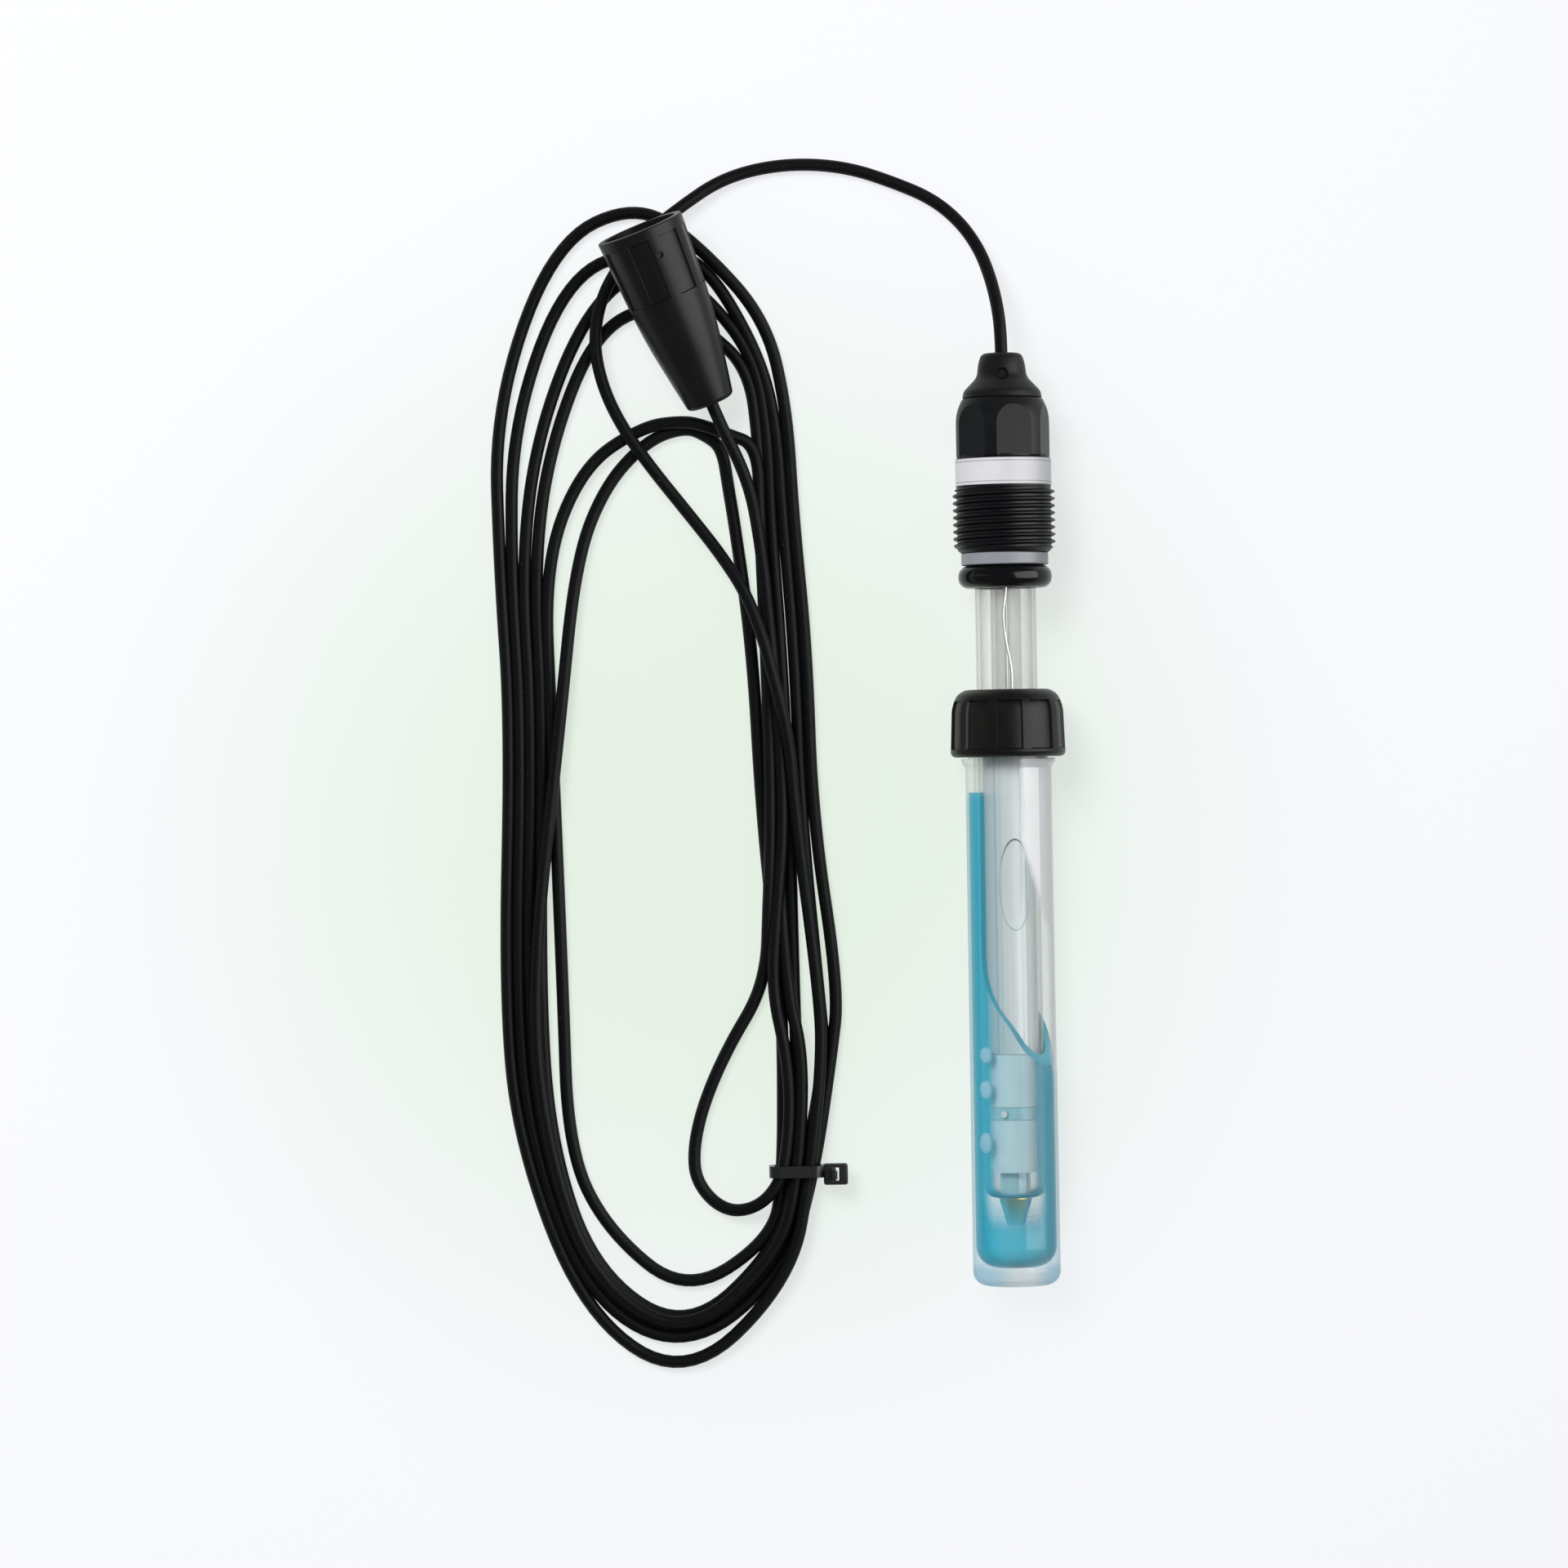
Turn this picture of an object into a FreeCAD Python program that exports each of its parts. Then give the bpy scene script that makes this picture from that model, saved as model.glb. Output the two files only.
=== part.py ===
import FreeCAD, Part
import math
import os

from FreeCAD import Placement, Rotation, Vector

# Redox electrode with a screw head, a glass shaft, a storage tube on its tip and a coiled cable
# All lengths are in millimetres. The electrode lies flat with its axis along Y and its head at +Y,
# and Z = 0 is the surface that it lies on. Along the electrode, heights are counted from the seat
# under the head, where the free glass begins: up is towards the cable, down towards the tip.

# Glass shaft and the stem inside it
SHAFT_DIAMETER = 12.0
SHAFT_LENGTH = 120.0
SHAFT_WALL = 0.8
SHAFT_TUCK = 14.0
SHAFT_END_THICKNESS = 2.2
SHAFT_END_ROUNDING = 2.8
STEM_DIAMETER = 6.0
STEM_WALL = 0.9
STEM_TUCK = 17.0
GLASS_CLEARANCE = 0.05

# Sensing tip and wires
TIP_DIAMETER = 5.8
TIP_END_DIAMETER = 2.8
TIP_LENGTH = 5.5
TIP_STUB_DIAMETER = 1.6
TIP_STUB_LENGTH = 6.0
SIGNAL_WIRE_DIAMETER = 0.6
REFERENCE_WIRE_DIAMETER = 0.5
REFERENCE_WIRE_IN_GEL = 19.0
COATING_DIAMETER = 1.1
COATING_LENGTH = 12.0
WIRE_CLEARANCE = 0.05

# Filling of the shaft, from the head down
STOPPER_LENGTH = 9.0
STOPPER_TOP = 10.0
GEL_LENGTH = 65.0
SALT_RING_LENGTH = 10.3
SALT_RING_BORE_GAP = 0.15
JUNCTION_BAND_LENGTH = 2.6
SALT_RING_STANDOFF = 4.8
FRIT_DIAMETER = 1.3
FRIT_COUNT = 3
FRIT_FIRST_ANGLE = -8.0
BUBBLE_LENGTH = 18.0
BUBBLE_WIDTH = 6.4
BUBBLE_ABOVE_SALT = 33.5
BUBBLE_ANGLE = 86.0
FILL_GAP = 0.1

# Head seal and thrust ring
SEAL_WIDTH = 4.5
SEAL_DIAMETER = 18.5
RING_THICKNESS = 2.5
RING_DIAMETER = 17.2
RING_EDGE = 0.35
RING_CLEARANCE = 0.05

# Screw head
THREAD_DIAMETER = 20.2
THREAD_LENGTH = 12.9
THREAD_LEAD_IN = 1.4
THREAD_FOOT_DIAMETER = 17.4
COLLAR_DIAMETER = 18.7
COLLAR_LENGTH = 5.9
LABEL_WIDTH = 5.2
LABEL_THICKNESS = 0.15
HEX_ACROSS_FLATS = 17.0
HEX_CORNER_DIAMETER = 18.6
HEX_LENGTH = 11.6
HEX_TURN = 17.8
SHOULDER_DIAMETER = 15.7
SHOULDER_LENGTH = 3.9
HEAD_CAVITY_DIAMETER = 13.2
POTTING_FERRULE_GAP = 1.8

# Moulded boot where the cable enters
BOOT_SPIGOT_LENGTH = 3.0
BOOT_FIT = 0.05
BOOT_BAND_LENGTH = 2.9
BOOT_BAND_DIAMETER = 12.6
BOOT_FLARE_LENGTH = 1.6
BOOT_NECK_DIAMETER = 9.8
BOOT_TOP_DIAMETER = 7.8
BOOT_NECK_LENGTH = 4.5
BOOT_EDGE = 0.7
BOOT_DIMPLE_DIAMETER = 2.6
BOOT_DIMPLE_DEPTH = 0.6

# Cable
CABLE_DIAMETER = 2.5
CABLE_TUCK = 8.0
CABLE_STRAIGHT = 3.5
CONDUCTOR_DIAMETER = 0.8
CORE_SPREAD = 0.6
FERRULE_DIAMETER = 1.9
FERRULE_LENGTH = 5.0
FERRULE_HEIGHT = 22.0
ARC_SHARE = 0.45

# Storage tube, its screw cap and its seals
CAP_DIAMETER = 22.7
CAP_LENGTH = 13.3
CAP_TOP = -20.0
CAP_SHOULDER_DIAMETER = 17.6
CAP_SHOULDER_DROP = 3.4
CAP_WAIST_DIAMETER = 22.0
CAP_FOOT_EDGE = 1.1
CAP_ROOF = 3.4
CAP_RIB_COUNT = 10
CAP_RIB_WIDTH = 1.8
CAP_RIB_DEPTH = 0.45
CAP_RIB_LENGTH = 10.0
CAP_RIB_FOOT = 1.5
CAP_RIB_ANGLE = 72.0
CAP_SHAFT_GAP = 0.35
CAP_THREAD_GAP = 0.7
WIPER_WIDTH = 1.9
WIPER_DIAMETER = 15.8
WIPER_FIT = 0.05
GASKET_THICKNESS = 1.2
GASKET_SHAFT_GAP = 0.35
NECK_DIAMETER = 15.8
NECK_BORE = 13.8
NECK_STEP = 6.6
TUBE_TOP_DIAMETER = 17.0
TUBE_DIAMETER = 17.4
TUBE_BORE = 15.0
TUBE_SHOULDER_DIAMETER = 18.8
TUBE_SHOULDER_LENGTH = 1.7
TUBE_SHOULDER_GAP = 0.3
TUBE_OVERHANG = 17.6
TUBE_BASE = 3.5
TUBE_CORNER = 3.2
TUBE_BORE_CORNER = 6.2
LIQUID_GAP = 0.05
LIQUID_SHAFT_GAP = 0.3
LIQUID_APEX_ABOVE_BASE = 40.1
LIQUID_DROP = 2.3

# Connector at the end of the cable, along its own axis from the cable end to the mouth
PLUG_RADII = [(0.0, 4.75), (8.4, 6.25), (16.0, 7.45), (25.0, 8.05), (33.0, 8.7), (37.5, 8.85)]
PLUG_LENGTH = 37.5
PLUG_END_EDGE = 0.9
PLUG_WALL = 1.3
PLUG_CABLE_GAP = 0.3
PLUG_MOUTH_DEPTH = 14.0
PLUG_CAVITY_START = 9.0
PLUG_RIB_COUNT = 8
PLUG_RIB_WIDTH = 2.3
PLUG_RIB_DEPTH = 0.4
PLUG_RIB_LENGTH = 12.0
PLUG_RIB_SETBACK = 2.2
PLUG_RIB_ANGLE = 77.0
PLUG_HOLE_DIAMETER = 1.4
PLUG_HOLE_SETBACK = 3.6
BAYONET_DIAMETER = 14.6
BAYONET_BORE = 12.2
BAYONET_LENGTH = 11.0
BAYONET_SETBACK = 1.2
BAYONET_SLOT_WIDTH = 2.1
BAYONET_SLOT_DEPTH = 6.5
BAYONET_SLOT_TURN = 55.0
CONTACT_DIAMETER = 8.1
CONTACT_BORE = 6.6
CONTACT_SETBACK = 2.4
CONTACT_FLANGE_LENGTH = 2.2
CONTACT_FLANGE_CLEARANCE = 0.06
CONTACT_REAR_DIAMETER = 7.0
CONTACT_REAR_LENGTH = 6.0
INSULATOR_DIAMETER = 4.7
PIN_DIAMETER = 1.35
PIN_LENGTH = 12.0
CRIMP_DIAMETER = 5.0
CRIMP_LENGTH = 6.0
PLUG_SEAL_WIDTH = 1.4
PART_FIT = 0.05

# Where the connector lies: the middle of its cable end, and the direction of its mouth
PLUG_REAR = Vector(-57.5, 83.4, 7.9)
PLUG_FRONT = Vector(-71.1, 118.1, 14.6)

# Cable route: from the boot over to the coil, the free loop below it, and the end to the plug
LEAD_POINTS = [
    Vector(-0.5, 101.2, 10.0), Vector(-1.7, 107.2, 7.4), Vector(-3.8, 113.4, 4.4),
    Vector(-7.6, 119.2, 2.0), Vector(-13.0, 123.8, 1.3), Vector(-20.2, 127.0, 1.3),
    Vector(-29.0, 129.4, 1.3), Vector(-38.4, 130.4, 1.3), Vector(-47.6, 129.6, 1.3),
    Vector(-55.6, 127.0, 2.0), Vector(-62.6, 123.0, 3.5), Vector(-69.2, 118.0, 3.9),
    Vector(-75.0, 112.0, 3.9), Vector(-79.2, 104.6, 3.9), Vector(-80.7, 96.2, 3.9),
    Vector(-79.2, 87.6, 3.9), Vector(-75.4, 79.2, 4.0), Vector(-70.0, 70.6, 3.9),
    Vector(-63.8, 62.2, 3.6), Vector(-57.8, 54.0, 4.0), Vector(-52.8, 46.0, 5.0),
    Vector(-49.0, 37.4, 5.8), Vector(-46.0, 28.6, 5.6),
]
LOOP_POINTS = [
    Vector(-46.4, -19.0, 3.6), Vector(-48.0, -27.5, 2.4), Vector(-51.2, -35.2, 1.6),
    Vector(-55.4, -42.9, 1.3), Vector(-59.4, -50.8, 1.3), Vector(-62.2, -58.2, 1.3),
    Vector(-64.1, -65.0, 1.3), Vector(-64.1, -70.9, 1.3), Vector(-60.7, -75.6, 1.3),
    Vector(-55.3, -77.4, 1.3), Vector(-49.9, -75.6, 1.6), Vector(-46.6, -70.8, 2.4),
    Vector(-46.6, -64.9, 2.6), Vector(-46.2, -59.6, 3.0),
]
TAIL_POINTS = [
    Vector(-46.8, 40.0, 3.6), Vector(-47.5, 48.6, 4.1), Vector(-48.5, 57.2, 4.5),
    Vector(-49.8, 65.2, 4.9), Vector(-52.2, 72.0, 5.7), Vector(-55.0, 77.6, 6.9),
]

# Coil: the outer and the inner edge of its turns, seen from above
COIL_OUTER = [
    (-47.0, 100.5), (-42.0, 82.0), (-40.5, 62.5), (-38.5, 33.5), (-37.5, 9.0), (-35.2, -15.0),
    (-34.2, -31.0), (-35.4, -47.5), (-38.5, -63.5), (-43.6, -86.0), (-54.5, -102.8),
    (-66.0, -107.2), (-78.0, -102.5), (-91.0, -85.0), (-98.0, -62.5), (-101.4, -30.0),
    (-101.2, 18.5), (-102.0, 62.0), (-97.0, 96.5), (-86.5, 114.5), (-71.0, 121.8), (-56.0, 115.0),
]
COIL_INNER = [
    (-54.0, 68.0), (-53.5, 52.0), (-51.5, 33.5), (-50.0, 1.5), (-49.6, -31.0), (-47.2, -47.0),
    (-46.8, -63.0), (-49.6, -80.0), (-57.6, -88.2), (-66.0, -89.4), (-75.0, -84.0),
    (-84.0, -69.0), (-88.6, -46.0), (-88.6, 2.0), (-86.5, 34.0), (-80.5, 60.0), (-70.0, 73.0),
    (-59.0, 75.0),
]
COIL_HEIGHT = 6.2
COIL_LOW_HEIGHT = 2.45
COIL_SLOPE_START = 36.0
COIL_SLOPE_END = 54.0

# Cable tie round the right-hand side of the coil
TIE_WIDTH = 2.3
TIE_THICKNESS = 1.0
TIE_HEIGHT = -69.3
TIE_LEFT = -49.3
TIE_RIGHT = -37.3
TIE_TOP = 7.4
TIE_BLOCK_WIDTH = 4.4
TIE_BLOCK_LENGTH = 4.2
TIE_BLOCK_HEIGHT = 3.4
TIE_CLEARANCE = 0.1
TIE_TAIL_LENGTH = 3.2
TIE_TAIL_THICKNESS = 0.9

# Heights along the electrode that follow from the sizes above
RING_BOTTOM = SEAL_WIDTH
HEAD_BOTTOM = RING_BOTTOM + RING_THICKNESS
COLLAR_BOTTOM = HEAD_BOTTOM + THREAD_LENGTH
HEX_BOTTOM = COLLAR_BOTTOM + COLLAR_LENGTH
HEX_TOP = HEX_BOTTOM + HEX_LENGTH
BOOT_FLARE = HEX_TOP + BOOT_BAND_LENGTH
BOOT_NECK = BOOT_FLARE + BOOT_FLARE_LENGTH
BOOT_TOP = BOOT_NECK + BOOT_NECK_LENGTH
CAP_BOTTOM = CAP_TOP - CAP_LENGTH
CAP_CEILING = CAP_TOP - CAP_ROOF
NECK_TOP = CAP_CEILING - GASKET_THICKNESS
SHOULDER_TOP = CAP_BOTTOM - TUBE_SHOULDER_GAP
TUBE_END = -SHAFT_LENGTH - TUBE_OVERHANG
SALT_RING_LOWER_TOP = -SHAFT_LENGTH + SALT_RING_STANDOFF + SALT_RING_LENGTH
SALT_RING_TOP = SALT_RING_LOWER_TOP + JUNCTION_BAND_LENGTH + SALT_RING_LENGTH
GEL_TOP = SALT_RING_TOP + GEL_LENGTH
BUBBLE_HEIGHT = SALT_RING_TOP + BUBBLE_ABOVE_SALT
REFERENCE_WIRE_END = GEL_TOP - REFERENCE_WIRE_IN_GEL
LIQUID_APEX = TUBE_END + TUBE_BASE + LIQUID_APEX_ABOVE_BASE

# Where the electrode's seat lies, so that the middle of its length is at Y = 0
AXIS_HEIGHT = CAP_DIAMETER / 2
SEAT_Y = -(BOOT_TOP + TUBE_END) / 2


def outline_face(start, steps):
    """Closed face in the XY plane, radius along X and height along Y.

    Each step is (radius, height) for a straight edge, or (radius, height, radius, height) for an
    arc through the first point to the second.
    """
    edges = []
    here = Vector(start[0], start[1], 0)
    for step in steps + [tuple(start)]:
        end = Vector(step[-2], step[-1], 0)
        if len(step) == 4:
            edges.append(Part.Arc(here, Vector(step[0], step[1], 0), end).toShape())
        elif (end - here).Length > 1e-6:
            edges.append(Part.LineSegment(here, end).toShape())
        here = end
    return Part.Face(Part.Wire(edges))


def lathe(start, steps):
    """Solid turned about the Y axis from an outline."""
    return outline_face(start, steps).revolve(Vector(0, 0, 0), Vector(0, 1, 0), 360)


def sleeve(outer, inner, bottom, top):
    """Plain ring or tube about the Y axis, from its two diameters."""
    return lathe((inner / 2, bottom), [(outer / 2, bottom), (outer / 2, top), (inner / 2, top)])


def rod(diameter, bottom, top):
    """Plain round bar about the Y axis."""
    return lathe((0, bottom), [(diameter / 2, bottom), (diameter / 2, top), (0, top)])


def spoke(diameter, inner, outer, height, angle):
    """Round bar that stands out from the Y axis at an angle from +X towards +Z."""
    outwards = Vector(math.cos(math.radians(angle)), 0, math.sin(math.radians(angle)))
    return Part.makeCylinder(diameter / 2, outer - inner, outwards * inner + Vector(0, height, 0), outwards)


def round_edges(solid, radius, chosen):
    """The solid with the edges that a test picks rounded over."""
    return solid.makeFillet(radius, [edge for edge in solid.Edges if chosen(edge)])


def on_electrode(solid):
    """Moves a solid from the electrode's own axis to where the electrode lies."""
    return solid.translated(Vector(0, SEAT_Y, AXIS_HEIGHT))


def on_plug(solid):
    """Moves a solid from the connector's own axis to where the connector lies."""
    turn = Rotation(Vector(0, 1, 0), PLUG_FRONT - PLUG_REAR)
    placed = solid.copy()
    placed.Placement = Placement(PLUG_REAR, turn).multiply(placed.Placement)
    return placed


def arc_radius(before, corner, after):
    """Radius of the arc at a corner, as large as its two runs allow."""
    half_turn = (math.pi - (before - corner).getAngle(after - corner)) / 2
    shorter = min((before - corner).Length, (after - corner).Length)
    return ARC_SHARE * shorter / math.tan(half_turn), half_turn


def cord_path(points):
    """Straight runs between points, joined by tangent arcs."""
    edges = []
    here = points[0]
    for before, corner, after in zip(points, points[1:], points[2:]):
        radius, half_turn = arc_radius(before, corner, after)
        back = (before - corner).normalize()
        ahead = (after - corner).normalize()
        inwards = (back + ahead).normalize()
        reach = radius * math.tan(half_turn)
        centre = corner + inwards * (radius / math.cos(half_turn))
        start = corner + back * reach
        end = corner + ahead * reach
        edges.append(Part.LineSegment(here, start).toShape())
        edges.append(Part.Arc(start, centre - inwards * radius, end).toShape())
        here = end
    edges.append(Part.LineSegment(here, points[-1]).toShape())
    return Part.Wire(edges)


def cord_tube(name, points, diameter):
    """Round cord along a route, with its bends printed."""
    path = cord_path(points)
    section = Part.Wire(Part.makeCircle(diameter / 2, points[0], points[1] - points[0]))
    tube = path.makePipeShell([section], True, False)
    radii = [arc_radius(*corner)[0] for corner in zip(points, points[1:], points[2:])]
    expected = path.Length * math.pi * diameter ** 2 / 4
    print(name, "length %.1f" % path.Length, "volume / expected %.4f" % (tube.Volume / expected))
    print("  bend radii", " ".join("%.1f" % radius for radius in radii))
    return tube


def glass_shaft():
    """Outer glass: a long tube, rounded and closed round the stem at its lower end."""
    outer = SHAFT_DIAMETER / 2
    inner = outer - SHAFT_WALL
    stem = STEM_DIAMETER / 2 + GLASS_CLEARANCE
    rounding = SHAFT_END_ROUNDING
    soft = rounding * (1 - math.sqrt(0.5))
    floor = -SHAFT_LENGTH + SHAFT_END_THICKNESS
    shell = lathe((stem, -SHAFT_LENGTH), [
        (outer - rounding, -SHAFT_LENGTH),
        (outer - soft, -SHAFT_LENGTH + soft, outer, -SHAFT_LENGTH + rounding),
        (outer, SHAFT_TUCK), (inner, SHAFT_TUCK), (inner, floor), (stem, floor)])
    for index in range(FRIT_COUNT):
        hole = spoke(FRIT_DIAMETER + 2 * GLASS_CLEARANCE, stem, outer + 1, frit_height(), frit_angle(index))
        shell = shell.cut(hole)
    return shell


def frit_height():
    """Height of the ceramic junctions: the middle of the band between the salt rings."""
    return SALT_RING_TOP - SALT_RING_LENGTH - JUNCTION_BAND_LENGTH / 2


def frit_angle(index):
    """Angle of one ceramic junction round the shaft."""
    return FRIT_FIRST_ANGLE + index * 360 / FRIT_COUNT


def frit(index):
    """Porous ceramic pin through the shaft's wall."""
    inner = STEM_DIAMETER / 2 + 0.5
    pin = spoke(FRIT_DIAMETER, inner, SHAFT_DIAMETER, frit_height(), frit_angle(index))
    return pin.common(rod(SHAFT_DIAMETER, frit_height() - FRIT_DIAMETER, frit_height() + FRIT_DIAMETER))


def inner_stem():
    """Inner glass tube that carries the signal wire down to the tip."""
    return sleeve(STEM_DIAMETER, STEM_DIAMETER - 2 * STEM_WALL, -SHAFT_LENGTH + WIRE_CLEARANCE, STEM_TUCK)


def gold_tip():
    """Sensing cone, with a stub that stands in the stem."""
    top = -SHAFT_LENGTH
    stub = TIP_STUB_DIAMETER / 2
    return lathe((0, top - TIP_LENGTH), [
        (TIP_END_DIAMETER / 2 - 0.3, top - TIP_LENGTH), (TIP_END_DIAMETER / 2, top - TIP_LENGTH + 0.3),
        (TIP_DIAMETER / 2, top - 0.5), (TIP_DIAMETER / 2, top), (stub, top),
        (stub, top + TIP_STUB_LENGTH), (0, top + TIP_STUB_LENGTH)])


def signal_wire():
    """Straight wire from the stub of the tip up into the head."""
    return rod(SIGNAL_WIRE_DIAMETER, -SHAFT_LENGTH + TIP_STUB_LENGTH, FERRULE_HEIGHT + 1.5)


def annulus_radius():
    """Middle of the ring-shaped space between stem and shaft."""
    return (STEM_DIAMETER / 2 + SHAFT_DIAMETER / 2 - SHAFT_WALL) / 2


def reference_wire_points():
    """Route of the silver wire: down beside the stem, with the S bend that shows below the head."""
    depth = annulus_radius()
    return [
        Vector(0, FERRULE_HEIGHT + 1.5, depth), Vector(0, 8.0, depth), Vector(0.05, 0.0, depth),
        Vector(-0.8, -5.0, depth - 0.1), Vector(-0.3, -10.5, depth), Vector(0.9, -16.0, depth - 0.1),
        Vector(0.7, -23.0, depth - 0.1), Vector(0.3, -34.0, depth), Vector(0.35, REFERENCE_WIRE_END, depth)]


def reference_wire():
    """Bent silver wire."""
    return cord_tube("reference wire", reference_wire_points(), REFERENCE_WIRE_DIAMETER)


def chloride_coating():
    """Silver chloride layer, a sleeve below the end of the silver wire."""
    end = reference_wire_points()[-1]
    return Part.makeCylinder(COATING_DIAMETER / 2, COATING_LENGTH, end, Vector(0, -1, 0))


def shaft_fill(bottom, top):
    """Ring that fills the space between stem and shaft over one stretch."""
    bore = STEM_DIAMETER + 2 * SALT_RING_BORE_GAP
    outside = SHAFT_DIAMETER - 2 * SHAFT_WALL - 2 * FILL_GAP
    return sleeve(outside, bore, bottom, top)


def annulus_stopper():
    """Rubber stopper at the top of the shaft, with a hole for the silver wire."""
    ring = shaft_fill(STOPPER_TOP - STOPPER_LENGTH, STOPPER_TOP)
    hole = Part.makeCylinder(
        REFERENCE_WIRE_DIAMETER / 2 + 0.3, STOPPER_LENGTH + 2,
        Vector(0, STOPPER_TOP - STOPPER_LENGTH - 1, annulus_radius()), Vector(0, 1, 0))
    return ring.cut(hole)


def gel_electrolyte():
    """Clear gel between stem and shaft, with a long bubble and a way for the wire."""
    gel = shaft_fill(SALT_RING_TOP + FILL_GAP, GEL_TOP)
    bubble = Part.makeSphere(BUBBLE_WIDTH / 2)
    stretch = FreeCAD.Matrix()
    stretch.scale(Vector(1, BUBBLE_LENGTH / BUBBLE_WIDTH, 1))
    bubble = bubble.transformGeometry(stretch)
    angle = math.radians(BUBBLE_ANGLE)
    radius = SHAFT_DIAMETER / 2 - SHAFT_WALL
    bubble.translate(Vector(radius * math.cos(angle), BUBBLE_HEIGHT, radius * math.sin(angle)))
    gel = gel.cut(bubble)
    start = Vector(0.35, BUBBLE_HEIGHT, annulus_radius())
    channel = Part.makeCylinder(COATING_DIAMETER / 2 + 0.2, GEL_TOP - BUBBLE_HEIGHT + 2, start, Vector(0, 1, 0))
    return gel.cut(channel)


def junction_band():
    """Clear spacer between the salt rings, cut away where the ceramic pins pass."""
    lower = SALT_RING_LOWER_TOP + FILL_GAP
    upper = SALT_RING_TOP - SALT_RING_LENGTH - FILL_GAP
    band = shaft_fill(lower, upper)
    for index in range(FRIT_COUNT):
        gap = 2 * WIRE_CLEARANCE
        band = band.cut(spoke(FRIT_DIAMETER + gap, 0, SHAFT_DIAMETER, frit_height(), frit_angle(index)))
    return band


def head_seal():
    """Fat rubber ring under the head, with a fully rounded outside."""
    inner = SHAFT_DIAMETER / 2 + RING_CLEARANCE
    outer = SEAL_DIAMETER / 2
    crown = SEAL_WIDTH * 0.46
    return lathe((inner, 0.3), [
        (inner + 0.3, 0.0), (outer - crown, 0.0),
        (outer, SEAL_WIDTH / 2, outer - crown, SEAL_WIDTH), (inner, SEAL_WIDTH)])


def thrust_ring():
    """Hard slip ring that lets the head turn without dragging the seal."""
    outer = RING_DIAMETER / 2
    inner = SHAFT_DIAMETER / 2 + RING_CLEARANCE
    top = RING_BOTTOM + RING_THICKNESS
    return lathe((inner, RING_BOTTOM), [
        (outer - RING_EDGE, RING_BOTTOM), (outer, RING_BOTTOM + RING_EDGE),
        (outer, top - RING_EDGE), (outer - RING_EDGE, top), (inner, top)])


def head_body():
    """Screw head: thread, label collar and hexagon, hollow above the glass."""
    thread = THREAD_DIAMETER / 2
    outside = lathe((0, HEAD_BOTTOM), [
        (THREAD_FOOT_DIAMETER / 2, HEAD_BOTTOM), (thread, HEAD_BOTTOM + THREAD_LEAD_IN),
        (thread, COLLAR_BOTTOM - 0.5), (COLLAR_DIAMETER / 2, COLLAR_BOTTOM),
        (COLLAR_DIAMETER / 2, HEX_BOTTOM), (0, HEX_BOTTOM)])
    side = HEX_ACROSS_FLATS / math.sqrt(3)
    corners = [Vector(side * math.cos(math.radians(60 * k)), 0, side * math.sin(math.radians(60 * k)))
               for k in range(7)]
    prism = Part.Face(Part.makePolygon(corners)).extrude(Vector(0, HEX_LENGTH, 0))
    prism.translate(Vector(0, HEX_BOTTOM, 0))
    prism.rotate(Vector(0, 0, 0), Vector(0, 1, 0), HEX_TURN)
    corner = HEX_CORNER_DIAMETER / 2
    shoulder = SHOULDER_DIAMETER / 2
    bulge = (corner + shoulder) / 2 + 0.45
    rounded = lathe((0, HEX_BOTTOM), [
        (corner, HEX_BOTTOM), (corner, HEX_TOP - SHOULDER_LENGTH),
        (bulge, HEX_TOP - SHOULDER_LENGTH * 0.4, shoulder, HEX_TOP), (0, HEX_TOP)])
    outside = outside.fuse(prism.common(rounded))
    bore = rod(SHAFT_DIAMETER + 2 * GLASS_CLEARANCE, HEAD_BOTTOM - 1, SHAFT_TUCK + FILL_GAP)
    cavity = rod(HEAD_CAVITY_DIAMETER, SHAFT_TUCK + FILL_GAP, HEX_TOP + 1)
    return outside.cut(bore).cut(cavity).removeSplitter()


def label_band():
    """Bare label wrapped round the collar."""
    middle = COLLAR_BOTTOM + COLLAR_LENGTH / 2
    outside = COLLAR_DIAMETER + 2 * LABEL_THICKNESS
    return sleeve(outside, COLLAR_DIAMETER, middle - LABEL_WIDTH / 2, middle + LABEL_WIDTH / 2)


def head_potting():
    """Resin in the head, round the ends of the glass and the wires."""
    bottom = SHAFT_TUCK + 2 * FILL_GAP
    top = FERRULE_HEIGHT - POTTING_FERRULE_GAP
    resin = sleeve(HEAD_CAVITY_DIAMETER - 2 * FILL_GAP, STEM_DIAMETER + 2 * FILL_GAP, bottom, top)
    way = Part.makeCylinder(FERRULE_DIAMETER / 2 + 0.2, top - bottom + 2,
                            Vector(0, bottom - 1, annulus_radius()), Vector(0, 1, 0))
    return resin.cut(way)


def ferrule(offset):
    """Crimped joint between a wire and its conductor."""
    barrel = sleeve(FERRULE_DIAMETER, CONDUCTOR_DIAMETER + 2 * WIRE_CLEARANCE,
                    FERRULE_HEIGHT, FERRULE_HEIGHT + FERRULE_LENGTH)
    return barrel.translated(Vector(0, 0, offset))


def conductor(name, offset, side):
    """Insulated core from a crimped joint up to the end of the cable's jacket."""
    top = BOOT_TOP - CABLE_TUCK
    start = FERRULE_HEIGHT + FERRULE_LENGTH / 2
    points = [Vector(0, start, offset), Vector(0, start + FERRULE_LENGTH, offset),
              Vector(0, top - FERRULE_LENGTH, side), Vector(0, top, side)]
    return cord_tube(name, points, CONDUCTOR_DIAMETER)


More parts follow.
